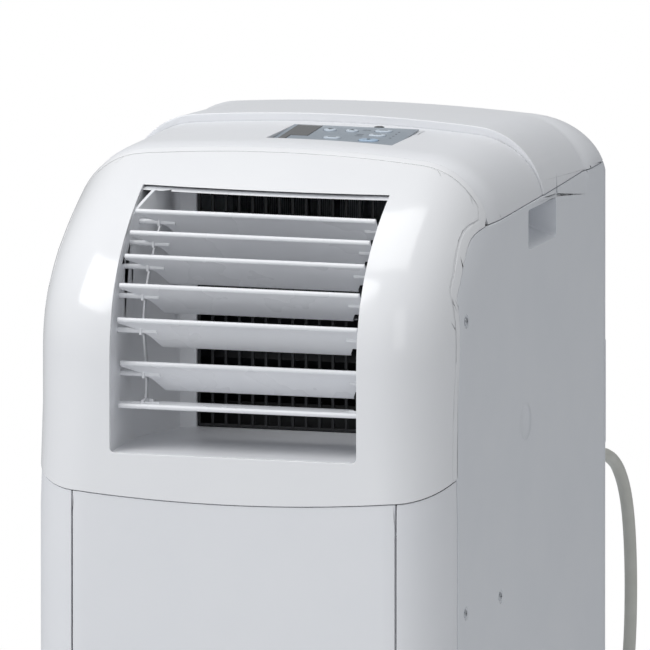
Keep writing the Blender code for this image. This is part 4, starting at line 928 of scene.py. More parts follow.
@dataclass
class FrontShell:
    """Gloss bezel with the outlet, lower frame with its corner pillars, and middle panel."""

    casing: Casing
    outlet_half_w: float = 100.0
    outlet_low: float = 232.0            # below the top
    outlet_high: float = 34.0
    bead: Point2 = (5.2, 6.3)            # shift of the groove beside the bezel's rear bead

    def outlet(self, grow: float, start: float, end: float) -> bpy.types.Object:
        """The straight-through form of the air outlet, with round lower corners."""
        half, radius, steps = self.outlet_half_w + grow, 4.0 + grow, 8
        low = self.casing.height - self.outlet_low - grow
        high = self.casing.height - self.outlet_high + grow
        line = [(-half, high)]
        for i in range(steps + 1):
            turn = math.pi / 2 * i / steps
            line.append((-half + radius - radius * math.cos(turn),
                         low + radius - radius * math.sin(turn)))
        line += [(-x, z) for x, z in reversed(line)]
        return prism("outlet", "Y", line, self.casing.behind(start), self.casing.behind(end))

    def groove(self) -> bpy.types.Object:
        """Thin band that parts the bead along the bezel's rear edge from its face."""
        c = self.casing
        lines = []
        for shift in self.bead:
            curve = c.edge(-shift)
            lines.append([(curve[0][0], 470.0), *curve,
                          (c.saddle[0] - shift - 1.6, c.height - 46), (c.saddle[0] - shift,
                                                                       c.height + 20)])
        band = c.region(lines[0] + lines[1][::-1])
        return work(band, How.CUT, c.form(0.7))

    def bezel(self) -> None:
        """The whole bezel."""
        c = self.casing
        top = c.height + 20
        line = [(-20, c.height - 279), (44.0, c.height - 279), *c.edge(),
                (c.saddle[0], c.height - 52), (c.saddle[0], top), (-20, top)]
        shell = work(c.form(), How.KEEP, c.region(line))
        above = [(-FAR, top), (-FAR, c.height - 240), *c.smile(), (FAR, c.height - 240),
                 (FAR, top)]
        work(shell, How.KEEP, prism("above", "Y", above, c.front - 20, c.front + 160))
        work(shell, How.CUT, c.form(c.wall))
        start = c.saddle[0] - c.lip_width
        lip = work(c.form(), How.KEEP, c.region([(start, c.height - 52),
                                                 (c.saddle[0], c.height - 52),
                                                 (c.saddle[0], top), (start, top)]))
        work(shell, How.JOIN, work(lip, How.CUT, c.form(c.lip_depth)))
        work(shell, How.CUT, self.groove(), self.outlet(0.0, -20.0, 160.0))
        dress(soften(shell), "bezel_shell", GLOSS_ABS, "front_bezel")

    def below(self, low: float) -> bpy.types.Object:
        """Everything in front of the side seam, from low up to the bezel's lower edge."""
        c = self.casing
        line = c.smile(-c.seam)
        return prism("below", "Y", [(-FAR, low), (FAR, low), (FAR, line[-1][1]),
                                    *reversed(line), (-FAR, line[0][1])],
                     c.front - 20, c.behind(44.0))

    def lower(self) -> None:
        """The frame and the panel that closes its doorway."""
        c = self.casing
        shell = work(c.form(0.8), How.KEEP, self.below(c.bottom))
        work(shell, How.CUT, c.form(c.wall + 0.8),
             block("doorway", (-c.panel_half_w, c.front - 20, c.panel_foot),
                   (c.panel_half_w, c.behind(30), c.height)))
        dress(soften(shell, 0.6, 3), "lower_frame", SATIN_ABS, "front_frame")
        half = c.panel_half_w - 1.0
        door = work(c.form(0.8), How.KEEP, self.below(c.panel_foot + c.seam))
        work(door, How.CUT, c.form(c.wall + 0.8))
        work(door, How.KEEP, block("between", (-half, c.front - 20, 0), (half, c.behind(30),
                                                                         c.height)))
        for side in (-1, 1):
            a, b = sorted((side * (half - 2.4), side * half))
            work(door, How.JOIN, block("rib", (a, c.behind(3.4), 71.0), (b, c.behind(9.0),
                                                                         451.0)))
        dress(soften(door, 0.6, 3), "door_panel", SATIN_ABS, "front_panel")

    def build(self) -> None:
        """Makes the three covers."""
        self.bezel()
        self.lower()


@dataclass
class SideShell:
    """Side panels with hand grip, round seat and screws."""

    casing: Casing
    screws: ScrewSet
    seats: tuple[Point2, ...] = ((67.0, 613.0), (65.0, 384.0), (158.0, 384.0))
    seat_radius: float = 5.5
    dimple: Point2 = (225.0, 512.0)
    dimple_radius: float = 15.0

    def pocket(self, grow: float, deeper: float = 0.0) -> bpy.types.Object:
        """The block taken by the hand grip, flared towards its mouth."""
        c = self.casing
        z0, z1 = c.height - 95.0 - grow, c.height - 63.0 + grow
        deep = c.half_w - 26.0 - deeper
        line = [(deep, z1), (deep, z0 + 9), (c.half_w + 12, z0 - 3), (c.half_w + 12, z1)]
        item = prism("pocket", "Y", line, c.behind(232.0) - grow, c.behind(307.0) + grow)
        return soften(item, 3.0, 4) if grow == 0.0 else item

    def panel(self, side: int) -> None:
        """One side panel; side is 1 on the right and -1 on the left."""
        c = self.casing
        front, rear = 44.0 + c.seam, c.depth - c.rear_radius
        line = [(front, c.bottom), *c.edge(c.seam), (126.0 + c.seam, c.seam_z(126.0) - c.seam),
                (rear, c.seam_z(rear) - c.seam), (rear, c.bottom)]
        line = list(dict.fromkeys(line))
        shell = work(c.form(0.3), How.KEEP, c.region(line, c.half_w - 30, c.half_w + 20))
        work(shell, How.CUT, c.form(c.wall + 0.3))
        cup = work(self.pocket(2.2, 2.2), How.KEEP,
                   block("inside", (0, -FAR, 0), (c.half_w - 0.5, FAR, 900)))
        work(shell, How.JOIN, cup)
        work(shell, How.CUT, self.pocket(0.0))
        dish = [(c.half_w - 1.6, 0.0), (c.half_w - 1.6, self.dimple_radius - 2.0),
                (c.half_w - 0.3, self.dimple_radius), (c.half_w + 5, self.dimple_radius + 1),
                (c.half_w + 5, 0.0)]
        work(shell, How.CUT, turned("dish", "X", (0, c.behind(self.dimple[0]), self.dimple[1]),
                                    dish))
        for setback, height in self.seats:
            work(shell, How.CUT, rod("seat", "X", (c.behind(setback), height),
                                     self.seat_radius, c.half_w - 1.5, c.half_w + 5, 32))
        if side < 0:
            shell.data.transform(Matrix.Scale(-1, 4, (1, 0, 0)))
            shell.data.flip_normals()
        name = "right" if side > 0 else "left"
        dress(soften(shell), f"{name}_side_shell", SHADED_SATIN_ABS, f"{name}_side_panel")
        places = [(side * (c.half_w - 1.2), c.behind(y), z) for y, z in self.seats]
        name = f"{name}_side_screws"
        dress(self.screws.make(name, places, 3.4, (0.0, side * 90.0, 0.0)), name, SCREW,
              body="cabinet")

    def build(self) -> None:
        """Makes both panels."""
        for side in (-1, 1):
            self.panel(side)


@dataclass
class KeyPad:
    """Film-covered control panel on the saddle, its keys, display and printed signs."""

    casing: Casing
    corner: Point3 = (-28.0, 180.0, 11.5)   # x, setback and drop of its front left corner
    size: Point2 = (102.0, 75.0)
    slope: float = 3.0
    film: float = 0.8
    stand: float = 0.9
    keys: dict[str, tuple[float, float, float, float]] = field(default_factory=lambda: {
        "down": (34.5, 57.5, 5.0, 4.0), "up": (52.5, 57.5, 5.0, 4.0),
        "power": (76.0, 24.0, 8.0, 4.5), "timer": (45.0, 28.0, 7.0, 3.6),
        "speed": (77.0, 44.0, 7.0, 3.6), "mode": (77.0, 61.0, 7.0, 3.6)})

    def tilt(self, item: bpy.types.Object) -> bpy.types.Object:
        """Moves a piece drawn on the flat panel into its place on the cabinet."""
        c = self.casing
        place = Matrix.Translation(Vector((self.corner[0], c.behind(self.corner[1]),
                                           c.height - self.corner[2])) * MM)
        item.data.transform(place @ Matrix.Rotation(math.radians(self.slope), 4, "X"))
        return item

    @staticmethod
    def oval(across: float, up: float, half_w: float, half_d: float,
             grow: float = 0.0, steps: int = 12) -> list[Point2]:
        """Two half circles joined by straight sides."""
        radius, reach = half_d + grow, half_w - half_d
        points = []
        for centre, start in ((across + reach, -90), (across - reach, 90)):
            for i in range(steps + 1):
                turn = math.radians(start + 180 * i / steps)
                points.append((centre + radius * math.cos(turn), up + radius * math.sin(turn)))
        return points

    def label(self) -> None:
        """The film with its holes for the keys and the display."""
        gap, (wide, deep) = 0.3, self.size
        item = block("label", (gap, gap, gap), (wide - gap, deep - gap, gap + self.film))
        for outline in self.keys.values():
            work(item, How.CUT, prism("hole", "Z", self.oval(*outline, 0.35), -3, 3))
        grown = [(3.7, 1.7), (10.3, 1.7), (10.3, 31.7), (24.3, 31.7), (24.3, 73.3), (3.7, 73.3)]
        work(item, How.CUT, prism("window", "Z", grown, -3, 3))
        dress(self.tilt(soften(item, 0.2)), "keypad_film", FILM, "control_label")
        shape = [(4, 2), (10, 2), (10, 32), (24, 32), (24, 73), (4, 73)]
        window = prism("window", "Z", shape, gap, gap + self.film + 0.2)
        dress(self.tilt(soften(window, 0.25)), "display_lens", SMOKED, "display_window")

    def key(self, name: str, outline: tuple[float, float, float, float]) -> None:
        """One key with a slightly domed face, and the sign that is printed on it."""
        across, up, half_w, half_d = outline
        top, foot = 0.3 + self.film + self.stand, -7.0
        rings = [(foot, 0.0), (top - 0.9, 0.0), (top - 0.45, 0.15), (top - 0.15, 0.5),
                 (top, 1.1), (top + 0.08, half_d * 0.6)]
        points: list[Point3] = []
        for z, inset in rings:
            points += [(x, y, z) for x, y in self.oval(across, up, half_w - inset,
                                                       half_d - inset)]
        count = len(points) // len(rings)
        faces = [tuple(reversed(range(count))), tuple(range(len(points) - count, len(points)))]
        for level in range(0, len(points) - count, count):
            faces += [(level + i, level + (i + 1) % count, level + count + (i + 1) % count,
                       level + count + i) for i in range(count)]
        item = self.tilt(solid("key", points, faces))
        finish = POWER_ABS if name == "power" else KEY_ABS
        dress(soften(item, 0.0, sharp=50), f"key_{name}", finish, f"button_{name}")
        high = top + 0.06
        if name in ("down", "up"):
            way = 1 if name == "up" else -1
            sign = [(across - 2.4, up - way * 1.6), (across + 2.4, up - way * 1.6),
                    (across, up + way * 2.0)]
        elif name == "power":
            sign = self.oval(across, up, 1.6, 1.6)
        else:
            sign = [(across - 3.2, up - 0.5), (across + 3.2, up - 0.5), (across + 3.2, up + 0.5),
                    (across - 3.2, up + 0.5)]
        dress(self.tilt(prism("sign", "Z", sign, high - 0.3, high + 0.12)), f"sign_{name}",
              PRINT, body=f"button_{name}")

    def legends(self) -> None:
        """Small generic signs printed on the film: fan, drops, clock ticks and lamp dots."""
        face = 0.3 + self.film
        marks: list[list[Point2]] = []
        for i in range(3):
            marks.append(self.oval(36.0 + 6.0 * i, 15.0, 1.1, 1.1, steps=6))
        for i in range(4):
            marks.append(self.oval(90.0, 36.0 + 8.0 * i, 0.9, 0.9, steps=6))
        for across, up in ((60.0, 39.0), (60.0, 44.0), (60.0, 62.0)):
            marks.append([(across, up), (across + 6.0, up), (across + 6.0, up + 1.1),
                          (across, up + 1.1)])
        item = prism("marks", "Z", marks[0], face - 0.2, face + 0.06)
        for mark in marks[1:]:
            work(item, How.JOIN, prism("mark", "Z", mark, face - 0.2, face + 0.06))
        dress(self.tilt(item), "keypad_signs", PRINT, body="cabinet")

    def build(self) -> None:
        """Makes the whole keypad."""
        self.label()
        for name, outline in self.keys.items():
            self.key(name, outline)
        self.legends()
        coat(frame["nodes"]["control_board"], SOLDER_MASK)
        refined("receiver_window", "receiver_lens", SMOKED, 0.0)


@dataclass
class TopShell:
    """Saddle-shaped top cover and the rear hood."""

    casing: Casing
    pad: KeyPad
    lens: Point2 = (39.0, 262.0)

    def saddle(self) -> None:
        """The recessed cover with the keypad's tray."""
        c, pad = self.casing, self.pad
        a, b = c.saddle[0] + c.seam, c.saddle[1] - c.seam
        shell = work(c.form(c.saddle_drop, 1.0), How.KEEP,
                     c.region([(a, c.height - 80), (a, c.height + 20), (b, c.height + 20),
                               (b, c.height - 80)]),
                     c.region([(0.0, c.seam_z(0.0)), (c.depth, c.seam_z(c.depth)),
                               (c.depth, c.height + 20), (0.0, c.height + 20)]))
        work(shell, How.CUT, c.form(c.saddle_drop + c.wall, 1.0 + c.wall))
        wide, deep = pad.size
        work(shell, How.JOIN, pad.tilt(block("tray", (-3, -3, -5), (wide + 3, deep + 3, -0.4))))
        work(shell, How.CUT, pad.tilt(block("pocket", (0, 0, 0), (wide, deep, 20))))
        for outline in pad.keys.values():
            work(shell, How.CUT, pad.tilt(prism("hole", "Z", pad.oval(*outline, 0.3), -12, 6)))
        work(shell, How.CUT, rod("lens", "Z", (self.lens[0], c.behind(self.lens[1])), 4.3,
                                 c.height - 20, c.height + 5))
        for across in (7.0, wide - 7.0):
            for up in (7.0, deep - 7.0):
                work(shell, How.JOIN, pad.tilt(prism("post", "Z", pad.oval(across, up, 3, 3),
                                                     -8.0, -4.0)))
        dress(soften(shell, 0.45), "saddle_cover", SATIN_ABS, "top_cover")

    def hood(self) -> None:
        """The rear hood with the bright lip that looks over the saddle."""
        c = self.casing
        start = c.saddle[1]
        line = [(start, c.seam_z(start)), (start, c.height + 20), (c.depth + 20, c.height + 20),
                (c.depth + 20, c.seam_z(c.depth + 20))]
        shell = work(c.form(), How.KEEP, c.region(line))
        work(shell, How.CUT, c.form(c.wall))
        end = start + c.lip_width
        band = work(c.form(), How.KEEP,
                    c.region([(start, c.seam_z(start)), (start, c.height + 20),
                              (end, c.height + 20), (end, c.seam_z(end))]))
        work(shell, How.JOIN, work(band, How.CUT, c.form(c.lip_depth, c.wall)))
        dress(soften(shell, 1.1, 3), "hood_shell", SATIN_ABS, "rear_hood")

    def build(self) -> None:
        """Makes both covers."""
        self.saddle()
        self.hood()


@dataclass
class RearShell:
    """Rear cover with grilles, exhaust collar, drain plug, cord cleat and screws."""

    casing: Casing
    rows: RowOfBars
    screws: ScrewSet
    half_w: float = 124.0
    intake: Point2 = (486.0, 668.0)
    vent: Point2 = (84.0, 258.0)
    slat_pitch: float = 8.2
    exhaust: Point3 = (-40.0, 372.0, 66.0)
    drain: Point3 = (105.0, 300.0, 9.0)
    lead: Point2 = (150.0, 447.0)

    def rear(self) -> float:
        """Y of the rear face."""
        return self.casing.behind(self.casing.depth)

    def cover(self) -> None:
        """The cover with its openings."""
        c, y = self.casing, self.rear()
        start = c.depth - c.rear_radius + c.seam
        shell = work(c.form(), How.KEEP,
                     c.region([(start, c.bottom), (start, c.seam_z(start) - c.seam),
                               (c.depth + 20, c.seam_z(c.depth + 20) - c.seam),
                               (c.depth + 20, c.bottom)]))
        work(shell, How.CUT, c.form(c.wall))
        for low, high in (self.intake, self.vent):
            work(shell, How.CUT, block("opening", (-self.half_w, y - 30, low),
                                       (self.half_w, y + 10, high)))
        for (x, z), radius in ((self.exhaust[:2], self.exhaust[2] + 0.3),
                               (self.drain[:2], self.drain[2] - 1.7), (self.lead, 7.3)):
            work(shell, How.CUT, rod("hole", "Y", (x, z), radius, y - 30, y + 10, 64))
        dress(soften(shell), "rear_shell", SHADED_SATIN_ABS, "rear_cover")
        places = [(side * 144.0, y - 0.2, z) for side in (-1, 1) for z in (66.0, 272.0, 640.0)]
        dress(self.screws.make("rear_screws", places, 3.8, (-90.0, 0.0, 0.0)), "rear_screws",
              SCREW, body="cabinet")

    def grille(self, name: str, node: str, low: float, high: float) -> None:
        """A frame with fine sloping slats and three upright ribs."""
        y0, y1 = self.rear() - 5.7, self.rear() + 1.0
        half, rim = self.half_w - 0.5, 8.0
        item = block(name, (-half, y0, low + 0.5), (half, y1, high - 0.5))
        work(item, How.CUT, block("way", (-half + rim, y0 - 5, low + 0.5 + rim),
                                  (half - rim, y1 + 5, high - 0.5 - rim)))
        soften(item, 0.6, 2)
        inner = high - low - 1.0 - 2 * rim
        count = int(inner // self.slat_pitch)
        pitch = inner / count
        slats = self.rows.make("slats", count, (0.0, self.rear() - 2.3,
                                                low + 0.5 + rim + pitch / 2), (0.0, 0.0, pitch),
                               (2 * (half - rim) + 1.0, 6.4, 1.5), SHADED_SATIN_ABS, (-28.0, 0.0, 0.0))
        ribs = self.rows.make("ribs", 3, (-(half - rim) / 2, self.rear() - 3.4,
                                          (low + high) / 2), ((half - rim) / 2, 0.0, 0.0),
                              (2.4, 3.6, inner + 1.0), SHADED_SATIN_ABS)
        dress(join_meshes(item, [slats, ribs]), name, SHADED_SATIN_ABS, node)

    def collar(self) -> None:
        """Hose spigot with a rolled rim."""
        x, z, r = self.exhaust
        y = self.rear()
        low = -73.7
        profile = [(low, r - 4), (low, r - 0.6), (0.3, r - 0.6), (0.3, r + 6.4), (0.8, r + 7),
                   (2.0, r + 7), (2.6, r + 6.2), (3.0, r + 0.6), (4.0, r - 0.4), (8.4, r - 0.6),
                   (9.5, r - 0.9), (10.0, r - 2.0), (9.5, r - 3.4), (8.4, r - 4)]
        item = soften(turned("collar", "Y", (x, y, z), profile, 96), 0.0, sharp=40)
        dress(item, "hose_collar", SHADED_SATIN_ABS, "exhaust_collar")

    def plug(self) -> None:
        """Rubber drain plug with a grip stub."""
        x, z, r = self.drain
        profile = [(-7.6, 0.0), (-7.6, r - 3.4), (-7.0, r - 3), (-3.6, r - 2), (0.3, r - 2),
                   (0.3, r + 2.4), (0.9, r + 3), (2.6, r + 3), (3.8, r + 2.2), (4.3, r + 0.8),
                   (4.4, 4.4), (4.8, 3.9), (7.6, 3.4), (8.3, 2.6), (8.3, 0.0)]
        item = soften(turned("drain", "Y", (x, self.rear(), z), profile, 48), 0.0, sharp=50)
        dress(item, "drain_bung", TREAD, "drain_plug")

    def build(self) -> None:
        """Makes everything on the rear face."""
        self.cover()
        self.grille("intake_slats", "intake_grille", *self.intake)
        self.grille("vent_slats", "condenser_grille", *self.vent)
        self.collar()
        self.plug()
        refined("cord_cleat", "cleat_ear", SHADED_SATIN_ABS, 0.8)


def join_meshes(first: bpy.types.Object,
                others: Sequence[bpy.types.Object]) -> bpy.types.Object:
    """Puts the faces of other objects into the first one's mesh, and removes them."""
    shape = bmesh.new()
    for item in (first, *others):
        shape.from_mesh(item.data)
    shape.to_mesh(first.data)
    shape.free()
    for item in others:
        bpy.data.objects.remove(item, do_unlink=True)
    return first


@dataclass
class Outlet:
    """Moulded duct, black guard, and seven slats that a tie bar turns together."""

    casing: Casing
    front: FrontShell
    rows: RowOfBars
    wall: float = 2.5
    rear: float = 124.0                  # setback of the guard's back
    rise: float = 5.0
    ceiling_drop: float = 4.0
    niche: tuple[float, float, float, float] = (62.0, 115.0, 22.0, 34.0)
    bar: float = 2.4
    bar_pitch: float = 10.4
    slats: tuple[tuple[float, float, float], ...] = (
        (60.0, 49.5, -45.0), (45.0, 64.3, -45.0), (30.7, 80.8, -45.0), (16.8, 101.8, -45.0),
        (11.5, 128.0, -45.0), (19.0, 163.0, -45.0), (13.5, 197.0, 0.0))
    chord: float = 35.0
    lowest_chord: float = 29.0
    fore: float = 15.0                   # chord in front of the pivot
    lip: float = 2.0
    thick: float = 2.2
    end_gap: float = 2.6
    crank: float = 15.0
    crank_x: float = -82.0
    plate: float = 2.0
    pin: float = 1.4

    def left_wall(self, offset: float) -> list[Point2]:
        """Left wall of the duct as (x, setback), with the niche that narrows it."""
        start, end, inset, grille = self.niche
        left, slant = -self.front.outlet_half_w, offset * 0.45
        return [(left + offset, -20.0), (left + offset, start - slant),
                (left + inset + offset, end - slant), (left + grille + offset, end + 4 - offset)]

    def pivots(self) -> list[Point2]:
        """(y, z) of each slat's pivot."""
        places = []
        for setback, drop, slope in self.slats:
            reach = self.fore if slope else self.lowest_chord / 2
            turn = math.radians(slope)
            places.append((self.casing.behind(setback) + reach * math.cos(turn),
                           self.casing.height - drop + reach * math.sin(turn)))
        return places

    def duct(self) -> None:
        """The channel from the bezel back to the guard."""
        c, half, t = self.casing, self.front.outlet_half_w, self.wall
        low = c.height - self.front.outlet_low
        ceiling = c.height - self.front.outlet_high - self.ceiling_drop
        outer = self.left_wall(-t)
        outer += [(outer[-1][0], self.rear), (half + t, self.rear), (half + t, -20.0)]
        duct = prism("duct", "Z", [(x, c.behind(y)) for x, y in outer], low - t, ceiling + t)
        inner = self.left_wall(0.0)
        inner += [(inner[-1][0], self.rear + 5), (half, self.rear + 5), (half, -25.0),
                  (inner[0][0], -25.0)]
        channel = prism("channel", "Z", [(x, c.behind(y)) for x, y in inner], low, ceiling)
        work(channel, How.KEEP, c.region([(-25.0, low), (0.0, low), (self.rear + 5,
                                                                     low + self.rise),
                                          (self.rear + 5, c.height), (-25.0, c.height)]))
        work(duct, How.KEEP, c.form(c.wall + 0.3))
        work(duct, How.CUT, channel)
        for pivot in self.pivots():
            work(duct, How.CUT, rod("hole", "X", pivot, 2.3, -half - 10, half + 10, 24))
        y0, y1 = c.behind(self.niche[0] - 22.0), c.behind(self.niche[1] - 10.0)
        corner = block("corner", (-half - t, y0, ceiling - 100.0), (-half, y1, ceiling + t))
        work(corner, How.JOIN, block("cover", (-half - t, y0, ceiling),
                                     (-half + 24.0, y1, ceiling + t)))
        work(corner, How.KEEP, c.form(c.wall + 0.3))
        work(duct, How.JOIN, corner)
        dress(soften(duct, 0.4), "duct_channel", SATIN_ABS, "outlet_duct")

    def guard(self) -> None:
        """Black guard: a thin frame, upright bars and one cross bar."""
        (x0, y0, z0), (x1, y1, z1) = [[v / MM for v in corner]
                                      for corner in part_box("safety_grille")]
        columns = int((x1 - x0 - self.bar) // self.bar_pitch)
        pitch = (x1 - x0 - self.bar) / columns
        middle = (y0 + y1) / 2
        uprights = self.rows.make("uprights", columns + 1, (x0 + self.bar / 2, middle,
                                                            (z0 + z1) / 2), (pitch, 0, 0),
                                  (self.bar, y1 - y0, z1 - z0), BLACK_PP)
        levels = self.rows.make("levels", 3, ((x0 + x1) / 2, middle, z0 + self.bar / 2),
                                (0, 0, (z1 - z0 - self.bar) / 2),
                                (x1 - x0, y1 - y0 - 0.3, self.bar), BLACK_PP)
        item = join_meshes(soften(uprights, 0.4), [soften(levels, 0.4)])
        dress(item, "guard_bars", BLACK_PP, "safety_grille")

    def profile(self, front: float, rear: float) -> list[Point2]:
        """A slat's section: round thick lip, slightly hollow face and thin trailing edge."""
        half, points = self.thick / 2, []
        for i in range(13):
            turn = math.radians(50 + 260 * i / 12)
            points.append((front + self.lip + self.lip * math.cos(turn),
                           self.lip * math.sin(turn)))
        start = points[-1][0]
        for share in (0.12, 0.3, 0.5, 0.7, 0.88):
            hollow = 0.5 * math.sin(math.pi * share)
            points.append((start + (rear - start) * share, -half * 0.9 + hollow))
        points += [(rear - 1, -half * 0.7), (rear, -half * 0.3), (rear, half * 0.3),
                   (rear - 1, half * 0.7)]
        for share in (0.88, 0.7, 0.5, 0.3, 0.12):
            hollow = 0.35 * math.sin(math.pi * share)
            points.append((start + (rear - start) * share, half * 0.9 + hollow))
        return points

    def slat(self, index: int) -> None:
        """One slat with its pins, crank and clip."""
        slope = self.slats[index][2]
        y, z = self.pivots()[index]
        chord = self.chord if slope else self.lowest_chord
        front = -self.fore if slope else -chord / 2
        rear = front + chord
        end, taper = self.front.outlet_half_w - self.end_gap, 30.0
        item = prism("slat", "X", self.profile(front, rear), -end, end)
        work(item, How.CUT,
             prism("taper", "Z", [(-end - 1, front + 5), (-end - 1, rear + 5),
                                  (-end + taper, rear + 5), (-end + taper, rear),
                                  (-end + taper * 0.75, front + 22),
                                  (-end + taper * 0.5, front + 14)], -10, 10),
             prism("notch", "Z", [(end + 1, rear + 5), (end - 12, rear + 5), (end - 12, rear - 2),
                                  (end - 9, rear - 9), (end + 1, rear - 9)], -10, 10))
        soften(item, 0.5, 2, 45.0)
        item.data.transform(Matrix.Rotation(math.radians(slope), 4, "X"))
        x, t = self.crank_x, self.plate
        arm = prism("arm", "X", [(5, -4), (self.crank + 2.6, -2.4), (self.crank + 2.6, 2.4),
                                 (3, 4), (-3, 3), (-3, -3)], x, x + t)
        clip = block("clip", (x + t - 0.2, self.crank - 3.0, -2.6), (x + t + 3.4,
                                                                     self.crank + 2.4, 2.4))
        half = self.front.outlet_half_w
        node = f"louvre_{index + 1}"
        left, high = [corner.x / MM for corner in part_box(node)]
        parts = [soften(arm, 0.4, 2), soften(clip, 0.5, 2),
                 rod("left_pin", "X", (0, 0), 2.0, left, x + t + 12, 24),
                 rod("right_pin", "X", (0, 0), 2.0, half - 14, high, 24),
                 rod("crank_pin", "X", (self.crank, 0), self.pin, x - 2 * t - 1.2, x + 1, 24)]
        for part in parts:
            part.data.shade_smooth()
            part.data.set_sharp_from_angle(angle=math.radians(50))
        join_meshes(item, parts)
        item.data.transform(Matrix.Translation(Vector((0, y, z)) * MM))
        dress(item, f"slat_{index + 1}", SLAT_ABS, node)

    def tie_bar(self) -> None:
        """The upright link with an eye on each crank pin."""
        pins = [(y + self.crank, z) for y, z in self.pivots()]
        x1 = self.crank_x - 0.3
        x0, half = x1 - self.plate, 2.5
        line = through([(y, z, 0.0) for y, z in pins], 5)
        right, left = [], []
        for i, p in enumerate(line):
            before, after = line[max(i - 1, 0)], line[min(i + 1, len(line) - 1)]
            along = (after - before).normalized()
            right.append((p.x + half * along.y, p.y - half * along.x))
            left.append((p.x - half * along.y, p.y + half * along.x))
        bar = prism("bar", "X", right + left[::-1], x0 + 0.2, x1 - 0.2)
        for pin in pins:
            work(bar, How.JOIN, rod("eye", "X", pin, half + 0.7, x0, x1, 24))
        for pin in pins:
            work(bar, How.CUT, rod("hole", "X", pin, self.pin + 0.3, x0 - 2, x1 + 2, 20))
        dress(soften(bar, 0.3), "tie_link", SLAT_ABS, "louvre_tie_bar")

    def build(self) -> None:
        """Makes the whole outlet."""
        self.duct()
        self.guard()
        for index in range(len(self.slats)):
            self.slat(index)
        self.tie_bar()


@dataclass
class Base:
    """Base pan and the four casters."""

    wheel_radius: float = 17.0
    half_width: float = 6.5
    names: tuple[str, ...] = ("front_left", "front_right", "rear_left", "rear_right")

    def wheel(self, tag: str) -> None:
        """A wheel with a rounded grooved tread, a dished face and an open bore."""
        low, high = [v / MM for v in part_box(f"caster_wheel_{tag}")]
        centre = tuple((a + b) / 2 for a, b in zip(low, high))
        w, r = self.half_width, self.wheel_radius
        side = [(w, 5.0), (w - 0.9, 5.8), (w - 1.2, 8.0), (w - 1.2, 11.6), (w - 0.8, 12.4),
                (w - 0.6, 14.6), (w - 0.9, 15.8), (w - 1.6, 16.6), (w - 2.6, r), (1.2, r),
                (0.9, r - 0.7)]
        profile = ([(-x, radius) for x, radius in side] + [(x, radius) for x, radius
                                                           in reversed(side)]
                   + [(w, 2.3), (-w, 2.3)])
        item = soften(turned("wheel", "X", centre, profile, 56), 0.0, sharp=40)
        dress(item, f"wheel_{tag}", TREAD, f"caster_wheel_{tag}")

    def build(self) -> None:
        """Makes the pan and the casters."""
        refined("base_pan", "pan_tray", SHADED_SATIN_ABS, 0.6)
        for tag in self.names:
            self.wheel(tag)
            refined(f"caster_fork_{tag}", f"fork_{tag}", NYLON, 0.35)


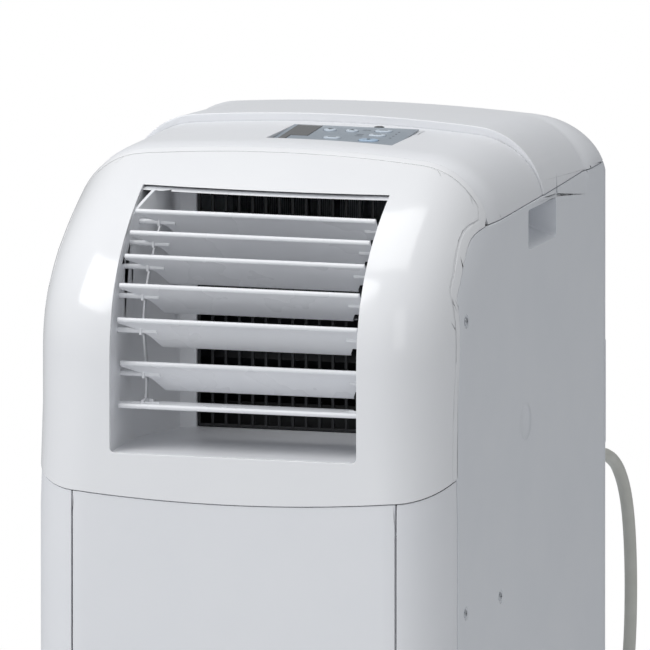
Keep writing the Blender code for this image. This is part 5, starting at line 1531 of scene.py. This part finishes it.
@dataclass
class Lead:
    """Mains lead from its strain relief down to the coil behind the cabinet."""

    radius: float = 5.0
    exit: Point3 = (150.0, 252.3, 447.0)
    route: tuple[Point3, ...] = (
        (150.0, 252.3, 447.0), (150.0, 262.0, 446.8), (150.0, 275.0, 444.8),
        (150.0, 292.0, 439.0), (150.0, 308.0, 430.0), (150.0, 323.0, 415.0),
        (150.0, 334.0, 395.0), (150.0, 341.0, 368.0), (150.0, 344.0, 332.0),
        (149.0, 344.5, 290.0), (146.0, 343.0, 245.0), (140.0, 339.0, 195.0),
        (131.0, 333.0, 145.0), (119.0, 324.0, 98.0), (105.0, 312.0, 59.0), (90.0, 299.0, 32.0),
        (73.0, 286.0, 15.0), (54.0, 274.5, 7.6), (33.0, 266.5, 5.8), (12.1, 263.0, 5.6))
    centre: Point2 = (-30.0, 318.0)
    inner_turn: float = 50.0
    outer_turn: float = 60.0
    low_turn: float = 6.9
    high_turn: float = 16.9
    wound: int = 1260                    # degrees that the coil turns through
    plug_x: float = 49.9                 # from the coil's centre to the plug's mouth

    @staticmethod
    def ease(angle: float, start: float, end: float, a: float, b: float) -> float:
        """Goes smoothly from a to b while angle goes from start to end."""
        t = min(max((angle - start) / (end - start), 0.0), 1.0)
        return a + (b - a) * t * t * (3 - 2 * t)

    def coil(self) -> list[Point3]:
        """Turns of the coil: outer and inner below, then inner and outer above."""
        points = []
        for angle in range(10, self.wound + 1, 10):
            radius = (self.ease(angle, 235, 355, self.outer_turn, self.inner_turn)
                      if angle < 700 else
                      self.ease(angle, 900, 965, self.inner_turn, self.outer_turn))
            z = self.ease(angle, 575, 650, self.low_turn, self.high_turn)
            if angle > self.wound - 40:
                radius -= self.ease(angle, self.wound - 40, self.wound, 0.0, 1.0)
            turn = math.radians(-90 - angle)
            points.append((self.centre[0] + radius * math.cos(turn),
                           self.centre[1] + radius * math.sin(turn), z))
        return points

    def line(self) -> list[Vector]:
        """The lead's whole centreline."""
        x, y = self.centre
        entry = [(-9.0, 259.4, 6.3), (x, y - self.outer_turn, self.low_turn)]
        leave = [(x + 16.0, y + 58.4, 16.4), (x + 33.0, y + 56.4, 14.4),
                 (x + self.plug_x - 2.0, y + 55.0, 12.7), (x + self.plug_x, y + 55.0, 12.6)]
        return through([*self.route, *entry, *self.coil(), *leave], 4)

    def sheath(self, line: Sequence[Vector]) -> bpy.types.Object:
        """A round tube along the line, closed at both ends."""
        steps, points, faces = 14, [], []
        normal = Vector((1, 0, 0))
        for i, p in enumerate(line):
            along = (line[min(i + 1, len(line) - 1)] - line[max(i - 1, 0)]).normalized()
            normal = (normal - along * normal.dot(along)).normalized()
            other = along.cross(normal)
            for k in range(steps):
                turn = 2 * math.pi * k / steps
                points.append(p + (normal * math.cos(turn) + other * math.sin(turn))
                              * self.radius)
        for i in range(len(line) - 1):
            for k in range(steps):
                a, b = i * steps + k, i * steps + (k + 1) % steps
                faces.append((a, b, b + steps, a + steps))
        faces.append(list(range(steps)))
        faces.append(list(range(len(points) - steps, len(points))))
        item = solid("lead", points, faces)
        return soften(item, 0.0, sharp=50)

    def relief(self) -> None:
        """The tapered, ribbed sleeve where the lead leaves the cabinet."""
        x, y, z = self.exit
        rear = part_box("rear_cover")[1].y / MM
        profile = [(-5.6, 0.0), (-5.6, 6.6), (0.3, 6.6), (0.3, 9.6), (0.7, 10.0), (2.8, 10.0),
                   (3.8, 8.8)]
        for i in range(5):
            start, radius = 5.0 + 5.0 * i, 8.4 - 0.52 * i
            profile += [(start, radius), (start + 2.6, radius - 0.2), (start + 3.0, radius - 1.2),
                        (start + 4.6, radius - 1.3)]
        profile += [(31.4, 5.9), (32.0, 5.4), (32.0, 0.0)]
        item = soften(turned("relief", "Y", (x, rear, z), profile, 40), 0.0, sharp=50)
        dress(item, "lead_sleeve", PVC, "strain_relief")

    def build(self) -> None:
        """Makes the lead, its tie and its plug."""
        line = self.line()
        item = dress(self.sheath(line), "mains_lead", PVC, "power_cord", "cord_coil")
        tie = refined("cord_tie", "lead_tie", NYLON, 0.3)
        plug = refined("plug", "lead_plug", PVC, 1.2)
        self.relief()


class Inside:
    """Working parts behind the covers: they keep their shape and get their finish."""

    finishes: dict[Finish, tuple[str, ...]] = {
        SHADED_SATIN_ABS: ("mid_deck",), MESH: ("air_filter",), ENAMEL: ("compressor",),
        BLACK_PP: ("blower_scroll", "blower_wheel", "condenser_fan_housing",
                   "condenser_fan_wheel"),
        ZINC: ("blower_motor", "condenser_motor"),
        FINS: ("evaporator_coil", "condenser_coil"),
        COPPER: ("suction_tube", "discharge_tube")}

    def build(self) -> None:
        """Gives each part its clean edges and its finish."""
        for finish, nodes in self.finishes.items():
            for node in nodes:
                refined(node, f"{node}_body", finish, 0.0, 35.0)


def corners() -> list[list[float]]:
    """The shown object's box as plain lists."""
    return [list(corner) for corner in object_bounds()]


def main() -> None:
    """Builds the stage and every sub-assembly."""
    logging.basicConfig(level=logging.INFO, format="%(name)s: %(message)s")
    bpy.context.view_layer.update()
    Stage().build()
    Lead().build()
    casing = Casing.from_frame()
    rows, screws = RowOfBars(), ScrewSet()
    front = FrontShell(casing)
    front.build()
    SideShell(casing, screws).build()
    pad = KeyPad(casing)
    TopShell(casing, pad).build()
    pad.build()
    RearShell(casing, rows, screws).build()
    Outlet(casing, front, rows).build()
    Base().build()
    Inside().build()


if __name__ == "__main__":
    main()
